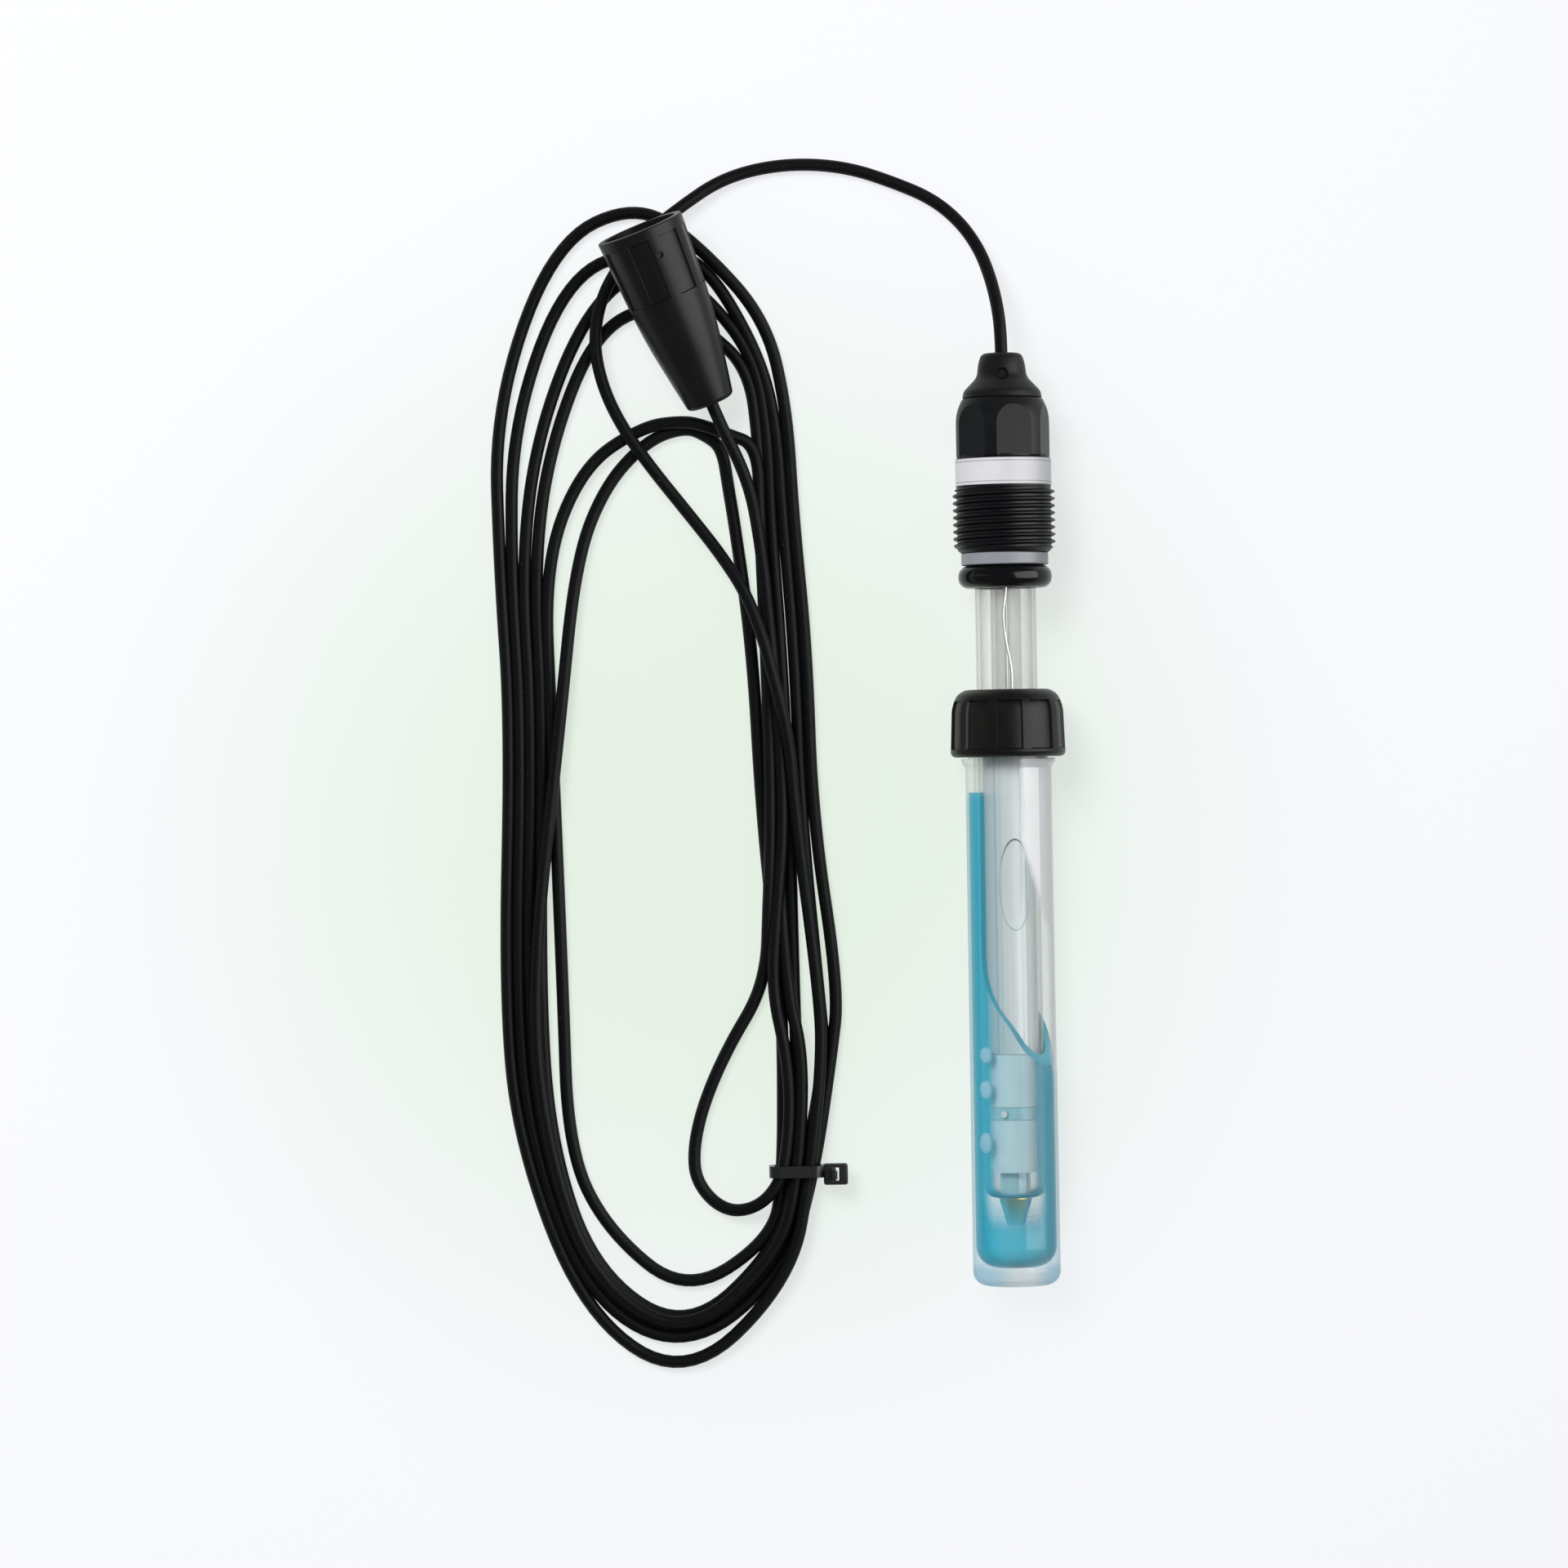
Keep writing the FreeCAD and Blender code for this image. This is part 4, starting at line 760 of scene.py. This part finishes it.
class ELECTRODE_OT_stage(ElectrodeOperator, bpy.types.Operator):
    """Sets up the camera straight above, the pale floor, and soft light"""

    bl_idname = "electrode.stage"
    bl_label = "Stage"

    def execute(self, context):
        scene = context.scene
        scene.view_settings.view_transform = "Standard"
        distance = self.sizes.view_distance
        place = (*VIEW_CENTRE, AXIS_HEIGHT * MM + distance)
        bpy.ops.object.camera_add(location=place, rotation=(0, 0, math.radians(VIEW_TURN)))
        camera = context.object
        camera.name = "Camera"
        camera.data.sensor_width = SENSOR_WIDTH
        camera.data.lens = SENSOR_WIDTH * distance / self.sizes.view_width
        camera.data.clip_start = 0.01
        scene.camera = camera

        bpy.ops.mesh.primitive_plane_add(size=8, location=(0, 0, 0))
        floor = context.object
        floor.name = "floor"
        finish = Finish("pale floor", {"Roughness": 0.8, "Specular IOR Level": 0.1})
        sockets = {"Vector": finish.place, "Vector_001": TINT_CENTRE}
        away = finish.node("VectorMath", sockets, operation="DISTANCE")["Value"]
        spread = finish.steps(away, TINT_INNER, TINT_OUTER)
        body = finish.tint(spread, self.colours.floor_middle, self.colours.floor)
        finish.feed({"Base Color": body})
        path = finish.node("LightPath", {})
        bent = finish.math("MAXIMUM", path["Is Glossy Ray"], path["Is Transmission Ray"])
        seen = finish.math("MAXIMUM", path["Is Camera Ray"], bent)
        glow = finish.node("Emission", {"Color": body, "Strength": FLOOR_GLOW})["Emission"]
        lit = Term(finish, finish.shader.outputs["BSDF"])
        sockets = {"Fac": seen * GLOW_SHARE, "Shader": lit, "Shader_001": glow}
        mixed = finish.node("MixShader", sockets)["Shader"]
        output = finish.tree.get_output_node("CYCLES")
        finish.tree.links.new(mixed.socket, output.inputs["Surface"])
        floor.data.materials.append(finish.material)

        world = bpy.data.worlds.new("studio")
        scene.world = world
        world.use_nodes = True
        tree = world.node_tree
        tree.nodes.clear()
        path, seen, room, backdrop, mix, output = (
            tree.nodes.new("ShaderNode" + kind)
            for kind in ("LightPath", "Math", "Background", "Background", "MixShader", "OutputWorld"))
        seen.operation = "MAXIMUM"
        room.inputs["Color"].default_value = (0.93, 0.97, 1.0, 1)
        room.inputs["Strength"].default_value = ROOM_LIGHT
        backdrop.inputs["Color"].default_value = (0.90, 0.93, 0.94, 1)
        for source, socket in (
            (path.outputs["Is Camera Ray"], seen.inputs[0]),
            (path.outputs["Is Transmission Ray"], seen.inputs[1]),
            (seen.outputs[0], mix.inputs[0]), (room.outputs[0], mix.inputs[1]),
            (backdrop.outputs[0], mix.inputs[2]), (mix.outputs[0], output.inputs["Surface"]),
        ):
            tree.links.new(source, socket)

        for name, place, size, power, glossy in (
            ("Window", (0.80, 0.15, 0.58), (0.85, 1.2), 14.0, True),
            ("Key", (-0.42, 0.55, 1.10), (0.55, 0.55), 12.0, False),
            ("Left strip", (-0.95, 0.20, 0.40), (0.10, 1.0), 0.35, True),
        ):
            bpy.ops.object.light_add(type="AREA", location=place)
            lamp = context.object
            lamp.name = name
            lamp.data.shape = "RECTANGLE"
            lamp.data.size, lamp.data.size_y = size
            lamp.data.energy = power
            lamp.visible_glossy = glossy
            lamp.visible_diffuse = not glossy
            lamp.rotation_mode = "QUATERNION"
            lamp.rotation_quaternion = (Vector(place) - LAMP_TARGET).to_track_quat("Z", "Y")
        return {"FINISHED"}


def coil_route():
    """The coil's control points in metres, a little outside their places, because the spline cuts inside."""
    places = []
    for spreads, heights in zip(TURN_SPREADS, TURN_HEIGHTS):
        for index, (ends, spread) in enumerate(zip(COIL_PLACES, spreads)):
            if spread is not None:
                inner_x, inner_y, outer_x, outer_y = ends
                x = inner_x + (outer_x - inner_x) * (spread / 100)
                y = inner_y + (outer_y - inner_y) * (spread / 100)
                places.append(Vector((x, y, heights.get(index, FLAT_HEIGHT))) * MM)
    route = places[:1]
    for before, here, after in zip(places, places[1:], places[2:]):
        lean = (here * 2 - before - after) * OVERSHOOT
        route.append(here + Vector((lean.x, lean.y, 0)))
    return route + places[-1:]


class ELECTRODE_OT_cable(ElectrodeOperator, bpy.types.Operator):
    """Lays the cable as one smooth spline: lead, coil, free loop and the end in the connector"""

    bl_idname = "electrode.cable"
    bl_label = "Cable"

    def execute(self, context):
        ahead = (PLUG_FRONT - PLUG_REAR).normalized()
        route = [in_metres(place) for place in LEAD_ROUTE] + coil_route()
        route += [in_metres(place) for place in LOOP_ROUTE + TAIL_ROUTE]
        route += [(PLUG_REAR + ahead * depth) * MM for depth in CABLE_DEPTHS]
        curve = bpy.data.curves.new("cable", "CURVE")
        curve.dimensions = "3D"
        curve.resolution_u = 10
        curve.bevel_depth = self.sizes.cable_diameter / 2
        curve.bevel_resolution = 4
        curve.use_fill_caps = True
        spline = curve.splines.new("NURBS")
        spline.points.add(len(route) - 1)
        for point, place in zip(spline.points, route):
            point.co = (*place, 1)
        spline.order_u = 3
        spline.use_endpoint_u = True
        spline.use_smooth = True
        cable = bpy.data.objects.new("cable", curve)
        context.scene.collection.objects.link(cable)
        curve.materials.append(cable_jacket("cable jacket", self.colours.jacket))
        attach(cable, "electrode")
        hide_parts("cable_lead", "cable_coil", "cable_loop", "cable_tail")
        return {"FINISHED"}


class ELECTRODE_OT_tie(ElectrodeOperator, bpy.types.Operator):
    """Models the nylon cable tie: strap, teeth, locking block and the cut end"""

    bl_idname = "electrode.tie"
    bl_label = "Cable tie"

    def execute(self, context):
        along, left, right, top = -69.3, -48.6, -37.3, 7.4
        lock_along = along - 0.6
        corners = [(left, 0, 1.6), (right, 0, 1.6), (right, top, 2.2), (left, top, 2.2)]
        strap = slab("tie_strap", corners, 2.3, 1.0)
        settle(strap, (0, along, 0), Quaternion((1, 0, 0), math.radians(90)))
        housing = block("tie_block", (4.8, 4.2, 3.4), (right + 1.9, lock_along, 4.7), 0.5)
        combined(strap, housing, "UNION")
        window = block("tie_window", (1.5, 2.7, 4.0), (right + 1.8, lock_along, 4.7), 0.1, 1)
        combined(strap, window, "DIFFERENCE")
        tail = block("tie_tail", (0.9, 2.3, 6.4), (right + 1.5, lock_along, 6.3), 0.12, 2)
        for index in range(5):
            place = (right + 1.95, lock_along, 7.0 + 0.55 * index)
            combined(tail, block("tie_tooth", (0.5, 1.5, 0.35), place, 0.06, 1), "UNION")
        combined(strap, tail, "UNION")
        nylon = satin_resin("black nylon", (0.006, 0.006, 0.007), 0.38)
        finish_piece(strap, nylon, "electrode", "tie_nylon", "cable_tie")
        return {"FINISHED"}


class ELECTRODE_OT_head(ElectrodeOperator, bpy.types.Operator):
    """Models the screw head: threaded barrel, label collar and rounded hexagon"""

    bl_idname = "electrode.head"
    bl_label = "Screw head"

    def execute(self, context):
        head = turned("screw_head", [
            (6.05, HEAD_FOOT), (8.7, HEAD_FOOT, 0.2), (9.3, HEAD_FOOT + 0.7),
            (9.3, COLLAR_FOOT - 0.3), (9.35, COLLAR_FOOT), (9.35, HEX_FOOT - 0.2, 0.15),
            (9.1, HEX_FOOT + 0.05), (9.1, HEX_FOOT + 0.4), (6.6, HEX_FOOT + 0.4), (6.6, 14.1),
            (6.05, 14.1)])
        pitch = self.sizes.thread_pitch
        start = HEAD_FOOT - 0.7
        ridge = helix("ridge", [
            (9.0, start - 0.62), (10.02, start - 0.2), (10.1, start - 0.08), (10.1, start + 0.08),
            (10.02, start + 0.2), (9.0, start + 0.62)], pitch, 10)
        shape = turned("thread_shape", [
            (8.5, HEAD_FOOT), (8.7, HEAD_FOOT), (10.15, HEAD_FOOT + 1.55, 0.5),
            (10.15, COLLAR_FOOT - 0.9, 0.3), (9.3, COLLAR_FOOT - 0.05), (8.5, COLLAR_FOOT - 0.05)])
        combined(ridge, shape, "INTERSECT")
        combined(head, ridge, "UNION")
        side = HEX_FLATS / math.sqrt(3)
        corners = [(0, HEX_FOOT), (side, HEX_FOOT), (side, HEX_TOP), (0, HEX_TOP)]
        hexagon = turned("hexagon", corners, closed=False, steps=6, turn=HEX_TURN)
        rounded = turned("hexagon_shape", [
            (0, HEX_FOOT), (9.05, HEX_FOOT), (9.3, HEX_FOOT + 0.25), (9.3, HEX_TOP - 2.9, 1.9),
            (7.95, HEX_TOP, 0.2), (0, HEX_TOP)], closed=False)
        combined(hexagon, rounded, "INTERSECT")
        corners = [(0, 14.0), (6.6, 14.0), (6.6, HEX_TOP + 1), (0, HEX_TOP + 1)]
        combined(hexagon, turned("cavity", corners, closed=False), "DIFFERENCE")
        combined(head, hexagon, "UNION")
        plastic = moulded_plastic("head plastic", self.colours.head, 0.38)
        lay_piece(head, plastic, "electrode", "head_plastic", "head_body")
        return {"FINISHED"}


class ELECTRODE_OT_boot(ElectrodeOperator, bpy.types.Operator):
    """Models the moulded boot with its dome, neck and gate mark"""

    bl_idname = "electrode.boot"
    bl_label = "Boot"

    def execute(self, context):
        boot = turned("boot", [
            (1.3, HEX_TOP - 3), (6.55, HEX_TOP - 3), (6.55, HEX_TOP), (7.6, HEX_TOP + 0.02),
            (7.85, HEX_TOP + 0.25), (7.62, HEX_TOP + 1.5, 0.5), (6.3, BOOT_FLARE, 0.7),
            (4.95, BOOT_NECK - 0.2, 0.8), (4.6, BOOT_NECK + 2.6, 0.8), (3.95, BOOT_TOP, 0.8),
            (1.3, BOOT_TOP, 0.2)])
        corners = [(0, -0.8), (0.9, -0.8), (1.3, 0.5), (1.5, 2.5), (0, 2.5)]
        mark = turned("gate_mark", corners, closed=False, steps=32)
        settle(mark, (0, BOOT_NECK + 0.3, 4.75), Quaternion((1, 0, 0), math.radians(90)))
        combined(boot, mark, "DIFFERENCE")
        plastic = moulded_plastic("boot plastic", self.colours.boot, 0.46, 0.3)
        lay_piece(boot, plastic, "electrode", "boot_rubber", "cable_boot")
        return {"FINISHED"}


class ELECTRODE_OT_label(ElectrodeOperator, bpy.types.Operator):
    """Wraps the bare label round the collar"""

    bl_idname = "electrode.label"
    bl_label = "Label"

    def execute(self, context):
        low, high = LABEL_MIDDLE - 2.6, LABEL_MIDDLE + 2.6
        label = turned("label", [(9.35, low), (9.47, low, 0.04), (9.47, high, 0.04), (9.35, high)])

        def in_overlap(vertex):
            return vertex.co.z < -8.8 * MM and vertex.co.x > 0 and vertex.co.xz.length > 9.4 * MM

        mode("EDIT")
        choose(label, in_overlap, "verts")
        bpy.ops.transform.translate(value=(0, 0, -0.03 * MM))
        mode("OBJECT")
        film = label_film("label film", self.colours.label)
        lay_piece(label, film, "electrode", "label_film", "label_band")
        return {"FINISHED"}


class ELECTRODE_OT_seals(ElectrodeOperator, bpy.types.Operator):
    """Models the fat rubber ring under the head and the grey slip ring above it"""

    bl_idname = "electrode.seals"
    bl_label = "Seal and slip ring"

    def execute(self, context):
        seal = turned("seal_ring", [(6.05, 0.3), (6.4, 0), (9.25, 0, 2.05), (9.25, 4.5, 2.05), (6.05, 4.5)])
        rubber = sealing_rubber("seal rubber", self.colours.rubber)
        lay_piece(seal, rubber, "electrode", "seal_rubber", "head_seal")
        ring = turned("slip_ring", [(6.05, 4.56), (8.6, 4.56, 0.3), (8.6, 6.94, 0.3), (6.05, 6.94)])
        plastic = pale_plastic("grey ring plastic", self.colours.ring)
        lay_piece(ring, plastic, "thrust_ring", "ring_plastic", "thrust_ring")
        return {"FINISHED"}


class ELECTRODE_OT_glass(ElectrodeOperator, bpy.types.Operator):
    """Models the glass shaft and the stem inside it"""

    bl_idname = "electrode.glass"
    bl_label = "Glass"

    def execute(self, context):
        shaft = turned("shaft_tube", [
            (0, SHAFT_END), (6.0, SHAFT_END, 2.8), (6.0, 14.0), (5.2, 14.0), (5.2, GEL_TOP + 0.5),
            (0, GEL_TOP + 0.5)], closed=False)
        glass = clear_glass("shaft glass", self.colours.glass, 0.07, 0.75)
        lay_piece(shaft, glass, "electrode", "shaft_glass", "glass_shaft")
        gel = turned("gel_fill", [(3.15, GEL_FOOT), (5.1, GEL_FOOT), (5.1, GEL_TOP), (3.15, GEL_TOP)])
        bubble = ellipsoid("bubble_dent", (3.2, 9.0, 0.45))
        settle(bubble, BUBBLE_PLACE)
        combined(gel, bubble, "DIFFERENCE")
        lay_piece(gel, milky_gel("gel", (0.70, 0.80, 0.80)), "electrode", "gel", "gel_electrolyte")
        rim = ellipsoid("bubble_rim", (3.3, 9.1, 3.0))
        combined(rim, ellipsoid("bubble_hollow", (3.02, 8.8, 4.0)), "DIFFERENCE")
        settle(rim, BUBBLE_PLACE)
        band = turned("bubble_band", [(5.05, -70), (5.22, -70), (5.22, -47), (5.05, -47)])
        combined(rim, band, "INTERSECT")
        lay_piece(rim, bubble_edge("bubble edge"), "electrode", "gel")
        foot = SHAFT_END + 0.05
        stem = turned("stem_tube", [(2.1, foot), (3.0, foot), (3.0, 17.0), (2.1, 17.0)])
        glass = stem_glass("stem glass", (0.60, 0.64, 0.62))
        lay_piece(stem, glass, "electrode", "stem_glass", "inner_stem")
        return {"FINISHED"}


class ELECTRODE_OT_cap(ElectrodeOperator, bpy.types.Operator):
    """Models the storage cap with its grip ribs and inside thread"""

    bl_idname = "electrode.cap"
    bl_label = "Storage cap"

    def execute(self, context):
        cap = turned("grip_cap", [
            (6.35, CAP_TOP, 0.2), (8.3, CAP_TOP, 0.4), (9.9, CAP_TOP - 0.9, 0.8), (11.0, CAP_TOP - 3.3, 1.3),
            (11.3, CAP_FOOT + 1.5), (11.35, CAP_FOOT + 1.4), (11.35, CAP_FOOT, 1.1),
            (8.6, CAP_FOOT, 0.2), (8.6, CAP_CEILING), (6.35, CAP_CEILING)], steps=120, turn=1.5)
        press_panels(cap, rib_angle=72.0, spacing=36.0, half_rib=3.5, low=CAP_FOOT + 1.5,
                     high=CAP_TOP - 1.9, reach=9.9, rim=0.22, depth=0.5)
        ridge = neck_thread("cap_thread", 8.8, 8.15, CAP_FOOT + 1.4)
        combined(cap, ridge, "UNION")
        plastic = moulded_plastic("cap plastic", self.colours.cap, 0.36, 0.7)
        lay_piece(cap, plastic, "wetting_cap", "cap_plastic", "storage_cap")
        return {"FINISHED"}


class ELECTRODE_OT_tube(ElectrodeOperator, bpy.types.Operator):
    """Models the clear storage tube with its neck thread, shoulder and thick floor"""

    bl_idname = "electrode.tube"
    bl_label = "Storage tube"

    def execute(self, context):
        tube = turned("clear_tube", [
            (0, TUBE_END), (8.7, TUBE_END, 2.8), (8.66, TUBE_END + 4.0, 0.8), (8.5, SHOULDER - 1.7, 0.3),
            (9.2, SHOULDER - 0.8, 0.3), (9.4, SHOULDER, 0.25), (7.9, SHOULDER),
            (7.9, NECK_TOP, 0.2), (6.9, NECK_TOP, 0.2), (6.9, LIQUID_TOP + 0.05), (7.6, LIQUID_TOP + 0.05),
            (7.9, LIQUID_TOP - 0.6)], closed=False)
        ridge = neck_thread("neck_thread", 7.8, 8.4, NECK_TOP - 5.8)
        take_up(tube)
        ridge.select_set(True)
        bpy.ops.object.join()
        plastic = tube_plastic("tube plastic", self.colours.tube)
        lay_piece(tube, plastic, "wetting_tube", "tube_plastic", "storage_tube")
        return {"FINISHED"}


class ELECTRODE_OT_liquid(ElectrodeOperator, bpy.types.Operator):
    """Models the storage liquid with its air pocket, and the bubbles that cling to the wall"""

    bl_idname = "electrode.liquid"
    bl_label = "Storage liquid"

    def execute(self, context):
        top, foot = LIQUID_TOP, TUBE_END + 3.55
        liquid = turned("tinted_liquid", [(0, top), (7.95, top), (8.0, foot, 4.2), (0, foot)], closed=False)
        shaft = turned("shaft_room", [
            (0, top + 1), (6.3, top + 1), (6.3, SHAFT_END - 0.3, 2.6), (3.2, SHAFT_END - 0.3),
            (3.2, SHAFT_END - 0.8), (1.7, SHAFT_END - 5.8), (0, SHAFT_END - 5.8)], closed=False)
        combined(liquid, shaft, "DIFFERENCE")
        pocket = slab("air_pocket", [
            (8.2, POCKET_FOOT), (5.5, -91.0, 2.0), (3.7, -86.8, 2.0), (-0.2, -81.5, 3.0), (-2.4, -75.5, 3.0),
            (-2.2, top + 1), (9.0, top + 1), (9.0, POCKET_FOOT)], 20)
        settle(pocket, (0, 0, 0), Quaternion((0, 1, 0), math.radians(AIR_LEAN - 90)))
        combined(liquid, pocket, "DIFFERENCE")
        tinted = tinted_liquid("storage liquid", self.colours.liquid)
        lay_piece(liquid, tinted, "wetting_tube", "liquid", "storage_liquid")
        film = clear_glass("bubble film", (0.72, 0.90, 0.95), 0.34, 0.9, 1.4)
        bubbles = ((-91.9, -5.3, 1.7), (-98.7, -5.4, 1.9), (-109.2, -5.6, 2.1))
        for number, (along, side, radius) in enumerate(bubbles, 1):
            bubble = ellipsoid(f"bubble_{number}", (1.5, radius, 0.9))
            settle(bubble, (side - 0.2, along, 5.0), Quaternion((0, 1, 0), math.radians(-48)))
            lay_piece(bubble, film, "wetting_tube", "liquid")
        return {"FINISHED"}


class ELECTRODE_OT_connector(ElectrodeOperator, bpy.types.Operator):
    """Models the connector's tapered cover with its pressed panels and vent"""

    bl_idname = "electrode.connector"
    bl_label = "Connector"

    def execute(self, context):
        cover = turned("connector_cover", [
            (1.55, 0, 0.2), (4.75, 0, 0.9), (6.25, 8.4, 3.5), (7.45, 16.0, 3.5), (8.05, 23.0), (8.7, 35.3),
            (8.85, PLUG_LENGTH, 0.35), (7.4, PLUG_LENGTH, 0.2), (7.4, 23.5), (5.3, 23.5), (4.75, 16.0),
            (3.6, 9.0), (1.55, 9.0)], turn=1.75)
        press_panels(cover, rib_angle=PLUG_VENT, spacing=45.0, half_rib=7.5, low=23.1, high=35.2,
                     reach=7.9, rim=0.15, depth=0.4)
        hole = turned("vent", [(0, -0.85), (0.7, -0.85), (0.7, 2.5), (0, 2.5)], closed=False, steps=32)
        angle = math.radians(PLUG_VENT)
        out = Vector((math.cos(angle), 0, math.sin(angle)))
        own_axis = Vector((0, 1, 0))
        settle(hole, out * 8.6 + own_axis * 31.7, own_axis.rotation_difference(out))
        combined(cover, hole, "DIFFERENCE")
        settle(cover, PLUG_REAR, own_axis.rotation_difference(PLUG_FRONT - PLUG_REAR))
        plastic = moulded_plastic("connector plastic", self.colours.plug, 0.34)
        finish_piece(cover, plastic, "plug_sleeve", "plug_plastic", "plug_shroud")
        return {"FINISHED"}


class ELECTRODE_OT_inside(ElectrodeOperator, bpy.types.Operator):
    """Gives the small parts that keep their CAD shape their finishes"""

    bl_idname = "electrode.inside"
    bl_label = "Inside parts"

    def execute(self, context):
        dress(bare_metal("gold", self.colours.gold, 0.22), "gold_tip", "centre_pin")
        dress(bare_metal("silver", (0.78, 0.77, 0.74), 0.28), "signal_wire", "reference_wire")
        dress(satin_resin("silver chloride", (0.16, 0.13, 0.14), 0.7), "chloride_coating")
        dress(sealing_rubber("stopper rubber", (0.30, 0.10, 0.07), 0.45), "annulus_stopper")
        dress(frosted_salt("salt", (0.66, 0.84, 0.88)), "salt_ring_upper", "salt_ring_lower")
        dress(satin_resin("spacer", (0.30, 0.58, 0.64), 0.3), "junction_band")
        ceramic = frosted_salt("ceramic", (0.80, 0.78, 0.72))
        dress(ceramic, "ceramic_junction_1", "ceramic_junction_2", "ceramic_junction_3")
        dress(satin_resin("potting resin", (0.05, 0.045, 0.04), 0.35), "head_potting")
        crimp = bare_metal("crimp metal", (0.62, 0.60, 0.56), 0.35)
        dress(crimp, "signal_ferrule", "reference_ferrule", "crimp_sleeve")
        dress(satin_resin("white core", (0.70, 0.70, 0.68)), "signal_conductor")
        dress(satin_resin("red core", (0.45, 0.03, 0.02)), "reference_conductor")
        dress(sealing_rubber("wiper rubber", (0.03, 0.03, 0.03), 0.4), "cap_wiper", "contact_seal")
        dress(sealing_rubber("gasket rubber", (0.22, 0.22, 0.21), 0.5), "mouth_gasket")
        dress(bare_metal("connector metal", (0.66, 0.65, 0.62), 0.24), "bayonet_ring", "contact_body")
        dress(satin_resin("white insulator", (0.80, 0.79, 0.76), 0.45), "contact_insulator")
        return {"FINISHED"}


OPERATORS = (
    ELECTRODE_OT_stage, ELECTRODE_OT_cable, ELECTRODE_OT_tie, ELECTRODE_OT_head, ELECTRODE_OT_boot,
    ELECTRODE_OT_label, ELECTRODE_OT_seals, ELECTRODE_OT_glass, ELECTRODE_OT_cap, ELECTRODE_OT_tube,
    ELECTRODE_OT_liquid, ELECTRODE_OT_connector, ELECTRODE_OT_inside,
)


class ELECTRODE_PT_pieces(bpy.types.Panel):
    """Sidebar panel with a button for each piece."""

    bl_label = "Redox electrode"
    bl_idname = "ELECTRODE_PT_pieces"
    bl_space_type = "VIEW_3D"
    bl_region_type = "UI"
    bl_category = "Electrode"

    def draw(self, context):
        for operator in OPERATORS:
            self.layout.operator(operator.bl_idname)


CLASSES = (ElectrodeSizes, ElectrodeColours, *OPERATORS, ELECTRODE_PT_pieces)


def register():
    for group in CLASSES:
        bpy.utils.register_class(group)
    bpy.types.Scene.electrode_sizes = PointerProperty(type=ElectrodeSizes)
    bpy.types.Scene.electrode_colours = PointerProperty(type=ElectrodeColours)


def unregister():
    del bpy.types.Scene.electrode_colours
    del bpy.types.Scene.electrode_sizes
    for group in reversed(CLASSES):
        bpy.utils.unregister_class(group)


def main():
    register()
    for operator in OPERATORS:
        group, name = operator.bl_idname.split(".")
        getattr(getattr(bpy.ops, group), name)()


if __name__ == "__main__":
    main()
